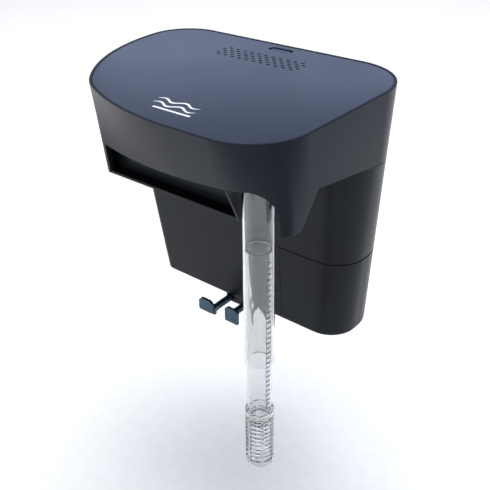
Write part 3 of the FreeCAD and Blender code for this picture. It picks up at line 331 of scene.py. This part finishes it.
def pressed_ferrite():
    """Pressed and sintered ferrite: dark, dense and faintly sparkling where it was ground."""
    material, tree, output = started("Ferrite magnet, sintered")
    place = add_node(tree, "ShaderNodeTexCoord")
    grit = add_node(tree, "ShaderNodeTexVoronoi", {"Scale": per_metre(0.7)},
                    {"Vector": (place, "Object")})
    tone = add_node(tree, "ShaderNodeValToRGB",
                    {"stops": [(0.1, linear("#1b1b1d")), (0.9, linear("#343437"))]},
                    {"Fac": (grit, "Distance")})
    bump = add_node(tree, "ShaderNodeBump", {"Strength": 0.3, "Distance": 0.05 * MM},
                    {"Height": (grit, "Distance")})
    surface = add_node(tree, "ShaderNodeBsdfPrincipled", {"Roughness": 0.48, "IOR": 2.0},
                       {"Base Color": (tone, "Color"), "Normal": (bump, "Normal")})
    tree.links.new(surface.outputs["BSDF"], output.inputs["Surface"])
    return material


def fired_ceramic(name, colour, shade, roughness, pore_mm, pore_deep_mm):
    """Fired alumina: ground smooth for the shaft, or left open pored for the filter rings."""
    material, tree, output = started(name)
    place = add_node(tree, "ShaderNodeTexCoord")
    pores = add_node(tree, "ShaderNodeTexVoronoi", {"Scale": per_metre(pore_mm)},
                     {"Vector": (place, "Object")})
    cloud = add_node(tree, "ShaderNodeTexNoise", {"Scale": per_metre(6), "Detail": 4.0},
                     {"Vector": (place, "Object")})
    tone = add_node(tree, "ShaderNodeValToRGB",
                    {"stops": [(0.3, linear(shade)), (0.65, linear(colour))]},
                    {"Fac": (cloud, "Fac")})
    bump = add_node(tree, "ShaderNodeBump", {"Strength": 0.8, "Distance": pore_deep_mm * MM},
                    {"Height": (pores, "Distance")})
    surface = add_node(tree, "ShaderNodeBsdfPrincipled", {"Roughness": roughness, "IOR": 1.76},
                       {"Base Color": (tone, "Color"), "Normal": (bump, "Normal")})
    tree.links.new(surface.outputs["BSDF"], output.inputs["Surface"])
    return material


def open_cell_foam():
    """Reticulated polyurethane foam: round cells about 2 mm across, with painted shade darkening
    the holes and painted light on the strands between them."""
    material, tree, output = started("Polyurethane foam, open cell")
    place = add_node(tree, "ShaderNodeTexCoord")
    cells = add_node(tree, "ShaderNodeTexVoronoi",
                     {"feature": "SMOOTH_F1", "Scale": per_metre(2.1), "Smoothness": 0.3},
                     {"Vector": (place, "Object")})
    cloud = add_node(tree, "ShaderNodeTexNoise", {"Scale": per_metre(24), "Detail": 3.0},
                     {"Vector": (place, "Object")})
    # painted shade and light: the cells' distance darkens the holes and lightens the strands,
    # over the foam's own petrol blue
    tone = add_node(tree, "ShaderNodeValToRGB",
                    {"stops": [(0.12, linear("#0b1c24")), (0.45, linear("#1d475a")),
                               (0.8, linear("#3a7188"))]},
                    {"Fac": (cells, "Distance")})
    dull = add_node(tree, "ShaderNodeMapRange", {"To Min": 0.8, "To Max": 0.95},
                    {"Value": (cloud, "Fac")})
    bump = add_node(tree, "ShaderNodeBump", {"Strength": 1.0, "Distance": 0.8 * MM},
                    {"Height": (cells, "Distance")})
    surface = add_node(tree, "ShaderNodeBsdfPrincipled",
                       {"IOR": 1.45, "Sheen Weight": 0.25, "Sheen Roughness": 0.6},
                       {"Base Color": (tone, "Color"), "Roughness": (dull, "Result"),
                        "Normal": (bump, "Normal")})
    tree.links.new(surface.outputs["BSDF"], output.inputs["Surface"])
    return material


def pad_print_ink():
    """White pad-printing ink: a thin even film with a few pinholes."""
    material, tree, output = started("Pad-printing ink, white")
    place = add_node(tree, "ShaderNodeTexCoord")
    film = add_node(tree, "ShaderNodeTexNoise", {"Scale": per_metre(1.2), "Detail": 3.0},
                    {"Vector": (place, "Object")})
    tone = add_node(tree, "ShaderNodeValToRGB",
                    {"stops": [(0.25, linear("#c9ced8")), (0.5, linear("#f2f4f8"))]},
                    {"Fac": (film, "Fac")})
    surface = add_node(tree, "ShaderNodeBsdfPrincipled", {"Roughness": 0.5, "IOR": 1.5},
                       {"Base Color": (tone, "Color")})
    tree.links.new(surface.outputs["BSDF"], output.inputs["Surface"])
    return material


def studio_paper():
    """Seamless background paper: matt, almost white, with a trace of fibre."""
    material, tree, output = started("Background paper, white")
    place = add_node(tree, "ShaderNodeTexCoord")
    fibre = add_node(tree, "ShaderNodeTexNoise", {"Scale": per_metre(12), "Detail": 4.0},
                     {"Vector": (place, "Object")})
    tone = add_node(tree, "ShaderNodeValToRGB",
                    {"stops": [(0.3, linear("#f4f4f4")), (0.7, linear("#f8f8f8"))]},
                    {"Fac": (fibre, "Fac")})
    surface = add_node(tree, "ShaderNodeBsdfPrincipled", {"Roughness": 0.9, "IOR": 1.4},
                       {"Base Color": (tone, "Color")})
    tree.links.new(surface.outputs["BSDF"], output.inputs["Surface"])
    return material


RECIPES = {
    "lid": lambda: moulded_plastic("ABS, satin slate blue", "#1d2438", "#181e2e", 0.25,
                                   1.1, 0.012, shine=0.5),
    "hood": lambda: moulded_plastic("ABS, satin charcoal blue", "#161b23", "#12161d", 0.29,
                                    1.2, 0.02, shine=0.08),
    "tank": lambda: moulded_plastic("ABS, satin charcoal", "#161a1e", "#121518", 0.32,
                                    1.2, 0.02, shine=0.13),
    "pump": lambda: moulded_plastic("PBT, glass filled black", "#1c1d1f", "#141516", 0.5,
                                    0.9, 0.06),
    "petrol": petrol_acetal,
    "acrylic": clear_acrylic,
    "matt": matt_acrylic,
    "rubber": seal_rubber,
    "screw": lambda: drawn_steel("Stainless steel, cold headed", "#b9bcbf", 0.3, 0.6),
    "wire": lambda: drawn_steel("Spring steel, drawn wire", "#a9adb2", 0.26, 0.4),
    "iron": laminated_iron,
    "magnet": pressed_ferrite,
    "shaft": lambda: fired_ceramic("Alumina, ground white", "#f1efe9", "#e2dfd6", 0.22,
                                   0.5, 0.02),
    "rings": lambda: fired_ceramic("Alumina, open pored", "#ddd3bf", "#c3b69d", 0.9,
                                   1.1, 0.35),
    "foam": open_cell_foam,
    "ink": pad_print_ink,
    "paper": studio_paper,
}
MADE = {}


def finish_of(key):
    """The material of this key, made once and then shared."""
    if key not in MADE:
        MADE[key] = RECIPES[key]()
    return MADE[key]


# ---------------------------------------------------------------- modelling helpers

def deselect():
    """Leaves edit mode and clears the selection."""
    if bpy.context.mode != "OBJECT":
        bpy.ops.object.mode_set(mode="OBJECT")
    bpy.ops.object.select_all(action="DESELECT")


def only(piece):
    """Makes this the one selected and active piece."""
    deselect()
    piece.select_set(True)
    bpy.context.view_layer.objects.active = piece


def dress(piece, key):
    """Gives a piece its one material."""
    piece.data.materials.clear()
    piece.data.materials.append(finish_of(key))


def dress_nodes(key, *nodes):
    """Gives carried-over nodes their material, in the object's own slots."""
    for name in nodes:
        node = frame["nodes"][name]
        if not node.material_slots:
            node.data.materials.append(finish_of(key))
        for held in node.material_slots:
            held.material = finish_of(key)


def smooth(piece, degrees=32):
    """Shades a piece smooth, apart from edges sharper than this."""
    only(piece)
    bpy.ops.object.shade_smooth_by_angle(angle=math.radians(degrees))


def merged_copy(node, name):
    """A copy of a node with its loose triangles joined, left in edit mode."""
    only(frame["nodes"][node])
    bpy.ops.object.duplicate()
    piece = bpy.context.view_layer.objects.active
    piece.name = piece.data.name = name
    bpy.ops.object.parent_clear(type="CLEAR_KEEP_TRANSFORM")
    bpy.ops.object.mode_set(mode="EDIT")
    bpy.ops.mesh.select_mode(type="EDGE")
    bpy.ops.mesh.select_all(action="SELECT")
    bpy.ops.mesh.remove_doubles(threshold=MERGE_GAP)
    return piece


def eased(node, name, width, key, body, segments=2):
    """A copy of a node with its hard edges eased by a small radius, as a mould leaves them."""
    piece = merged_copy(node, name)
    bpy.ops.mesh.dissolve_limited(angle_limit=math.radians(FLAT_DEGREES))
    bpy.ops.mesh.select_all(action="DESELECT")
    bpy.ops.mesh.edges_select_sharp(sharpness=math.radians(SHARP_DEGREES))
    bpy.ops.mesh.bevel(offset=width, segments=segments, profile=0.5, affect="EDGES",
                       clamp_overlap=True)
    bpy.ops.object.mode_set(mode="OBJECT")
    smooth(piece)
    weigh = piece.modifiers.new("Weigh", "WEIGHTED_NORMAL")
    weigh.keep_sharp = True
    bpy.ops.object.modifier_apply(modifier=weigh.name)
    dress(piece, key)
    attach(piece, body)
    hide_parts(node)
    return piece


# ---------------------------------------------------------------- sizes and colours

class FilterSizes(bpy.types.PropertyGroup):
    """Sizes of the details that are added to the frame."""
    hood_edge: FloatProperty(name="Hood edge", description="Radius of the hood's hard edges",
                             default=0.7 * MM, unit="LENGTH", precision=5)
    lid_edge: FloatProperty(name="Lid edge", description="Radius of the lid's hard edges",
                            default=0.35 * MM, unit="LENGTH", precision=5)
    tank_edge: FloatProperty(name="Tank edge", description="Radius of the tank's hard edges",
                             default=0.5 * MM, unit="LENGTH", precision=5)
    small_edge: FloatProperty(name="Small edge",
                              description="Radius of edges on the bars, pads and button",
                              default=0.25 * MM, unit="LENGTH", precision=5)
    rack_radius: FloatProperty(name="Rack radius",
                               description="Distance from the axis where the teeth start",
                               default=10.65 * MM, unit="LENGTH", precision=5)
    rack_angle: FloatProperty(name="Rack angle", description="Where the teeth stand, in degrees",
                              default=-10.0)
    rack_half_angle: FloatProperty(name="Rack half width",
                                   description="Half the strip's width, in degrees",
                                   default=14.0)
    rack_top: FloatProperty(name="Rack top", description="Level of the strip's upper end",
                            default=-42 * MM, unit="LENGTH", precision=5)
    button_travel: FloatProperty(name="Button travel", description="How far the button goes down",
                                 default=2 * MM, unit="LENGTH", precision=5)
    mark_span: FloatProperty(name="Wave length", description="Length of the printed waves",
                             default=42 * MM, unit="LENGTH", precision=5)
    mark_rise: FloatProperty(name="Wave height", description="Height of each printed crest",
                             default=2.3 * MM, unit="LENGTH", precision=5)
    mark_band: FloatProperty(name="Wave band", description="Width of the printed band",
                             default=2.3 * MM, unit="LENGTH", precision=5)
    mark_film: FloatProperty(name="Ink film", description="Thickness of the printed ink",
                             default=0.06 * MM, unit="LENGTH", precision=6)
    foam_crown: FloatProperty(name="Foam crown",
                              description="How far the foam's faces swell between its edges",
                              default=0.8 * MM, unit="LENGTH", precision=5)


class StageLook(bpy.types.PropertyGroup):
    """Studio that the filter is shown in."""
    floor_drop: FloatProperty(name="Floor drop",
                              description="Room under the strainer for the tube's travel",
                              default=0.112, unit="LENGTH")
    air: FloatProperty(name="Ambient light", description="Strength of the light all round",
                       default=0.9)
    key_power: FloatProperty(name="Key light", description="Power of the large soft light",
                             default=175.0, unit="POWER")
    strip_power: FloatProperty(name="Strip light",
                               description="Power of the narrow upright light on the left",
                               default=3.2, unit="POWER")
    fill_power: FloatProperty(name="Fill light", description="Power of the front fill light",
                              default=8.0, unit="POWER")
    corner_power: FloatProperty(name="Corner strip",
                                description="Power of the low upright light by the camera",
                                default=1.1, unit="POWER")
    back_power: FloatProperty(name="Back window",
                              description="Power of the light that the lid mirrors",
                              default=1.5, unit="POWER")
    side_power: FloatProperty(name="Window light",
                              description="Power of the bluish light on the right",
                              default=5.0, unit="POWER")


# ---------------------------------------------------------------- hood and lid

class FILTER_OT_hood(bpy.types.Operator):
    """Eases the hood's and the lid's edges and gives them their moulded finish"""
    bl_idname = "filter.hood"
    bl_label = "Hood and lid"

    def execute(self, context):
        sizes = context.scene.filter_sizes
        eased("hood_cover", "hood_skirt", sizes.hood_edge, "hood", "filter_body", segments=3)
        eased("lid_panel", "lid_plate", sizes.lid_edge, "lid", "lid")
        dress_nodes("hood", "latch_bracket")
        return {"FINISHED"}


class FILTER_OT_button(bpy.types.Operator):
    """Finishes the lid's release button and its spring"""
    bl_idname = "filter.button"
    bl_label = "Release button"

    def execute(self, context):
        sizes = context.scene.filter_sizes
        eased("release_button", "button_key", sizes.small_edge, "petrol", "button")
        # the spring is a merged copy that rides on the lid, with a mesh of its own
        coil = merged_copy("button_spring", "coil_spring")
        bpy.ops.object.mode_set(mode="OBJECT")
        smooth(coil, 50)
        dress(coil, "wire")
        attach(coil, "lid")
        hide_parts("button_spring")
        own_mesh(coil)
        return {"FINISHED"}


class FILTER_OT_mark(bpy.types.Operator):
    """Prints two plain waves with a bar under them on the lid"""
    bl_idname = "filter.mark"
    bl_label = "Printed wave"

    def execute(self, context):
        sizes = context.scene.filter_sizes
        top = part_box("lid_panel")[1][2]
        span, band, rise = sizes.mark_span, sizes.mark_band, sizes.mark_rise
        wave = None
        # each row is a strip: the waves thin towards their ends, and the bar stays even
        for name, place, share, waves in MARK_ROWS:
            length, lift = share * span, rise if waves else 0.0
            deselect()
            bpy.ops.mesh.primitive_grid_add(x_subdivisions=MARK_CUTS, y_subdivisions=2, size=1)
            strip = context.active_object
            strip.name = strip.data.name = name
            for vertex in strip.data.vertices:
                along, side = 2 * vertex.co.x, 2 * vertex.co.y
                thin = 1 - MARK_TAPER * along ** 4 if waves else 1.0
                vertex.co = (place[0] + along * length / 2,
                             place[1] + lift * math.sin(2 * math.pi * along)
                             + side * thin * band / 2, top)
            film = strip.modifiers.new("Film", "SOLIDIFY")
            film.thickness = sizes.mark_film
            film.offset = 1
            bpy.ops.object.modifier_apply(modifier=film.name)
            if wave:
                wave.select_set(True)
                context.view_layer.objects.active = wave
                bpy.ops.object.join()
            wave = wave or strip
        dress(wave, "ink")
        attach(wave, "lid")
        return {"FINISHED"}


# ---------------------------------------------------------------- outlet, tank and cup

class FILTER_OT_outlet(bpy.types.Operator):
    """Finishes the outlet chute that crosses the rim"""
    bl_idname = "filter.outlet"
    bl_label = "Outlet chute"

    def execute(self, context):
        sizes = context.scene.filter_sizes
        eased("outlet_chute", "chute_channel", sizes.tank_edge, "tank", "filter_body")
        return {"FINISHED"}


class FILTER_OT_tank(bpy.types.Operator):
    """Finishes the tank, its pump cup, gasket, screws and cable gland"""
    bl_idname = "filter.tank"
    bl_label = "Tank and cup"

    def execute(self, context):
        sizes = context.scene.filter_sizes
        eased("container_shell", "tank_shell", sizes.tank_edge, "tank", "filter_body")
        eased("pump_cup", "cup_shell", sizes.tank_edge, "tank", "filter_body")
        dress_nodes("rubber", "cup_gasket")
        dress_nodes("screw", "cup_screws")
        eased("cable_gland", "gland_sleeve", sizes.small_edge, "rubber", "filter_body")
        return {"FINISHED"}


class FILTER_OT_pump(bpy.types.Operator):
    """Finishes the pump: housing, motor, rotor and volute"""
    bl_idname = "filter.pump"
    bl_label = "Pump"

    def execute(self, context):
        dress_nodes("pump", "pump_housing", "motor_base_cap", "volute_cover")
        dress_nodes("iron", "motor_stator")
        dress_nodes("rubber", "lower_bushing", "upper_bushing", "inlet_seal")
        dress_nodes("shaft", "ceramic_shaft")
        dress_nodes("magnet", "rotor_magnet")
        dress_nodes("petrol", "impeller_wheel")
        return {"FINISHED"}


class FILTER_OT_intake(bpy.types.Operator):
    """Finishes the intake: elbow, collar, the two clear tubes and the strainer"""
    bl_idname = "filter.intake"
    bl_label = "Intake"

    def frost_teeth(self, tube, sizes):
        """Gives the teeth, whose faces stand outside the tube's own round wall, their matt
        finish."""
        low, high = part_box("intake_strainer")
        centre = Vector(((low[0] + high[0]) / 2, (low[1] + high[1]) / 2))
        tube.data.materials.append(finish_of("matt"))
        across = math.radians(sizes.rack_half_angle)
        turn = math.radians(sizes.rack_angle)
        for face in tube.data.polygons:
            way = Vector(face.center[:2]) - centre
            outside = way.length > sizes.rack_radius
            aside = abs(math.atan2(way.y, way.x) - turn)
            if outside and aside < across and face.center.z < sizes.rack_top:
                face.material_index = 1

    def execute(self, context):
        sizes = context.scene.filter_sizes
        dress_nodes("tank", "intake_elbow")
        dress_nodes("petrol", "elbow_collar")
        for node, name, body in (("upper_intake_tube", "fixed_tube", "filter_body"),
                                 ("lower_intake_tube", "sliding_tube_clear", "sliding_tube"),
                                 ("intake_strainer", "strainer_cup", "strainer")):
            piece = eased(node, name, sizes.small_edge, "acrylic", body)
            if body == "sliding_tube":
                self.frost_teeth(piece, sizes)
        return {"FINISHED"}


# ---------------------------------------------------------------- media

class FILTER_OT_media(bpy.types.Operator):
    """Finishes the cartridges' frames, the basket and rings, and makes the foam blocks"""
    bl_idname = "filter.media"
    bl_label = "Filter media"

    def foam_block(self, node, name, crown):
        """Makes a block of foam in a node's place, just inside the node's box."""
        low, high = (Vector(corner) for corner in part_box(node))
        deselect()
        bpy.ops.mesh.primitive_cube_add(size=1, location=(low + high) / 2)
        block = bpy.context.active_object
        block.name = block.data.name = name
        spans = high - low
        bpy.ops.object.mode_set(mode="EDIT")
        bpy.ops.transform.resize(
            value=tuple(span - 2 * crown - 2 * FOAM_INSET for span in spans))
        bpy.ops.mesh.select_all(action="SELECT")
        bpy.ops.mesh.bevel(offset=FOAM_CORNER, segments=3, affect="EDGES")
        bpy.ops.mesh.select_all(action="SELECT")
        bpy.ops.mesh.subdivide(number_cuts=2)
        bpy.ops.object.mode_set(mode="OBJECT")
        bpy.ops.object.transform_apply(location=True, rotation=True, scale=True)
        fine = block.modifiers.new("Fine", "REMESH")
        fine.mode = "VOXEL"
        fine.voxel_size = FOAM_VOXEL
        bpy.ops.object.modifier_apply(modifier=fine.name)
        # the faces swell between the edges, and the cut cells leave the surface uneven
        centre, reach = (low + high) / 2, spans / 2
        for vertex in block.data.vertices:
            away = vertex.co - centre
            share = [min(1.0, abs(away[k]) / reach[k]) for k in range(3)]
            for k in range(3):
                others = [share[j] for j in range(3) if j != k]
                swell = (1 - others[0] ** 4) * (1 - others[1] ** 4) * share[k] ** 3
                vertex.co[k] += math.copysign(crown * swell, away[k])
        noise = bpy.data.textures.new(name + "_cells", "CLOUDS")
        noise.noise_scale = FOAM_CELL
        noise.noise_depth = 2
        rough = block.modifiers.new("Cells", "DISPLACE")
        rough.texture = noise
        rough.texture_coords = "LOCAL"
        rough.strength = FOAM_DEPTH
        rough.mid_level = 1.0
        bpy.ops.object.modifier_apply(modifier=rough.name)
        smooth(block, 60)
        dress(block, "foam")
        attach(block, "filter_body")
        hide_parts(node)

    def execute(self, context):
        sizes = context.scene.filter_sizes
        self.foam_block("filter_foam_one", "foam_block_one", sizes.foam_crown)
        self.foam_block("filter_foam_two", "foam_block_two", sizes.foam_crown)
        for number in ("one", "two"):
            eased("foam_frame_" + number, "frame_bars_" + number, 2 * sizes.small_edge,
                  "petrol", "filter_body")
        dress_nodes("pump", "media_basket")
        dress_nodes("rings", "ceramic_rings")
        return {"FINISHED"}


# ---------------------------------------------------------------- spacers

class FILTER_OT_spacers(bpy.types.Operator):
    """Finishes the toothed bars, their pads and the guides they slide in"""
    bl_idname = "filter.spacers"
    bl_label = "Wall spacers"

    def execute(self, context):
        small = context.scene.filter_sizes.small_edge
        dress_nodes("tank", "spacer_guides")
        for side in ("left", "right"):
            body = "spacer_" + side
            eased("spacer_bar_" + side, "toothed_bar_" + side, small, "petrol", body)
            eased("spacer_pad_" + side, "glass_pad_" + side, 2 * small, "petrol", body)
        return {"FINISHED"}


# ---------------------------------------------------------------- stage

class FILTER_OT_stage(bpy.types.Operator):
    """Sets the floor, the air round it, the soft lights and the camera"""
    bl_idname = "filter.stage"
    bl_label = "Stage"

    def light(self, name, spot, aim, width, height, power, colour):
        """Adds a rectangular lamp that lights the scene but is not seen itself."""
        deselect()
        bpy.ops.object.light_add(type="AREA", location=spot)
        lamp = bpy.context.active_object
        lamp.name = name
        lamp.data.shape = "RECTANGLE"
        lamp.data.size, lamp.data.size_y = width, height
        lamp.data.energy = power
        lamp.data.color = linear(colour)[:3]
        lamp.visible_camera = False
        lamp.rotation_euler = (Vector(aim) - Vector(spot)).to_track_quat("-Z", "Y").to_euler()

    def execute(self, context):
        look = context.scene.filter_stage
        floor_z = CAD_BOX[0][2] - look.floor_drop
        deselect()
        bpy.ops.mesh.primitive_plane_add(size=FLOOR_SIZE, location=(0, 0, floor_z))
        floor = context.active_object
        floor.name = floor.data.name = "floor"
        bpy.ops.object.transform_apply(location=True)
        dress(floor, "paper")

        world = bpy.data.worlds.new("Studio air")
        context.scene.world = world
        world.use_nodes = True
        tree = world.node_tree
        tree.nodes.clear()
        # the studio's air: a pale horizon, a dim bluish middle and a lit ceiling
        way = add_node(tree, "ShaderNodeTexCoord")
        split = add_node(tree, "ShaderNodeSeparateXYZ", (), {"Vector": (way, "Generated")})
        bands = add_node(tree, "ShaderNodeValToRGB",
                         {"stops": [(0.0, linear("#d4d6da")), (0.18, linear("#c2cce0")),
                                    (0.28, linear("#8292b4")), (0.38, linear("#4c566b")),
                                    (0.55, linear("#45484e")), (1.0, linear("#f4f4f2"))]},
                         {"Fac": (split, "Z")})
        air = add_node(tree, "ShaderNodeBackground", {"Strength": look.air},
                       {"Color": (bands, "Color")})
        add_node(tree, "ShaderNodeOutputWorld", (), {"Surface": (air, "Background")})
        context.scene.view_settings.view_transform = "Standard"
        for name, spot, aim, width, height, power, colour in LIGHTS:
            self.light(name, spot, aim, width, height, getattr(look, power), colour)

        camera_data = bpy.data.cameras.new("camera")
        camera = bpy.data.objects.new("camera", camera_data)
        context.scene.collection.objects.link(camera)
        turn, rise, roll = (math.radians(angle) for angle in CAMERA_ANGLES)
        back = Vector((math.sin(turn) * math.cos(rise), -math.cos(turn) * math.cos(rise),
                       math.sin(rise)))
        right = Vector((math.cos(turn), math.sin(turn), 0))
        up = back.cross(right)
        right, up = (math.cos(roll) * right + math.sin(roll) * up,
                     math.cos(roll) * up - math.sin(roll) * right)
        camera.matrix_world = Matrix((
            *((right[k], up[k], back[k], CAMERA_PLACE[k]) for k in range(3)), (0, 0, 0, 1)))
        camera_data.sensor_width = CAMERA_SENSOR
        camera_data.lens = CAMERA_LENS
        camera_data.clip_start = CAMERA_NEAR
        context.scene.camera = camera
        return {"FINISHED"}


# ---------------------------------------------------------------- panel

class FILTER_PT_sidebar(bpy.types.Panel):
    """Lists the pieces and their sizes"""
    bl_idname = "FILTER_PT_sidebar"
    bl_label = "Hang-on filter"
    bl_space_type = "VIEW_3D"
    bl_region_type = "UI"
    bl_category = "Filter"

    def draw(self, context):
        for group in (context.scene.filter_sizes, context.scene.filter_stage):
            column = self.layout.column(align=True)
            for key in group.__annotations__:
                column.prop(group, key)
        for operator in PIECES:
            self.layout.operator(operator.bl_idname)


PIECES = (FILTER_OT_hood, FILTER_OT_button, FILTER_OT_mark, FILTER_OT_outlet, FILTER_OT_tank,
          FILTER_OT_pump, FILTER_OT_intake, FILTER_OT_media, FILTER_OT_spacers, FILTER_OT_stage)
CLASSES = (FilterSizes, StageLook) + PIECES + (FILTER_PT_sidebar,)


def register():
    """Adds the classes and the two groups of properties."""
    for cls in CLASSES:
        bpy.utils.register_class(cls)
    bpy.types.Scene.filter_sizes = PointerProperty(type=FilterSizes)
    bpy.types.Scene.filter_stage = PointerProperty(type=StageLook)


def unregister():
    """Takes them out again."""
    del bpy.types.Scene.filter_stage
    del bpy.types.Scene.filter_sizes
    for cls in reversed(CLASSES):
        bpy.utils.unregister_class(cls)


def main():
    """Builds every piece and the stage."""
    register()
    bpy.ops.filter.hood()
    bpy.ops.filter.button()
    bpy.ops.filter.mark()
    bpy.ops.filter.outlet()
    bpy.ops.filter.tank()
    bpy.ops.filter.pump()
    bpy.ops.filter.intake()
    bpy.ops.filter.media()
    bpy.ops.filter.spacers()
    bpy.ops.filter.stage()


if __name__ == "__main__":
    main()
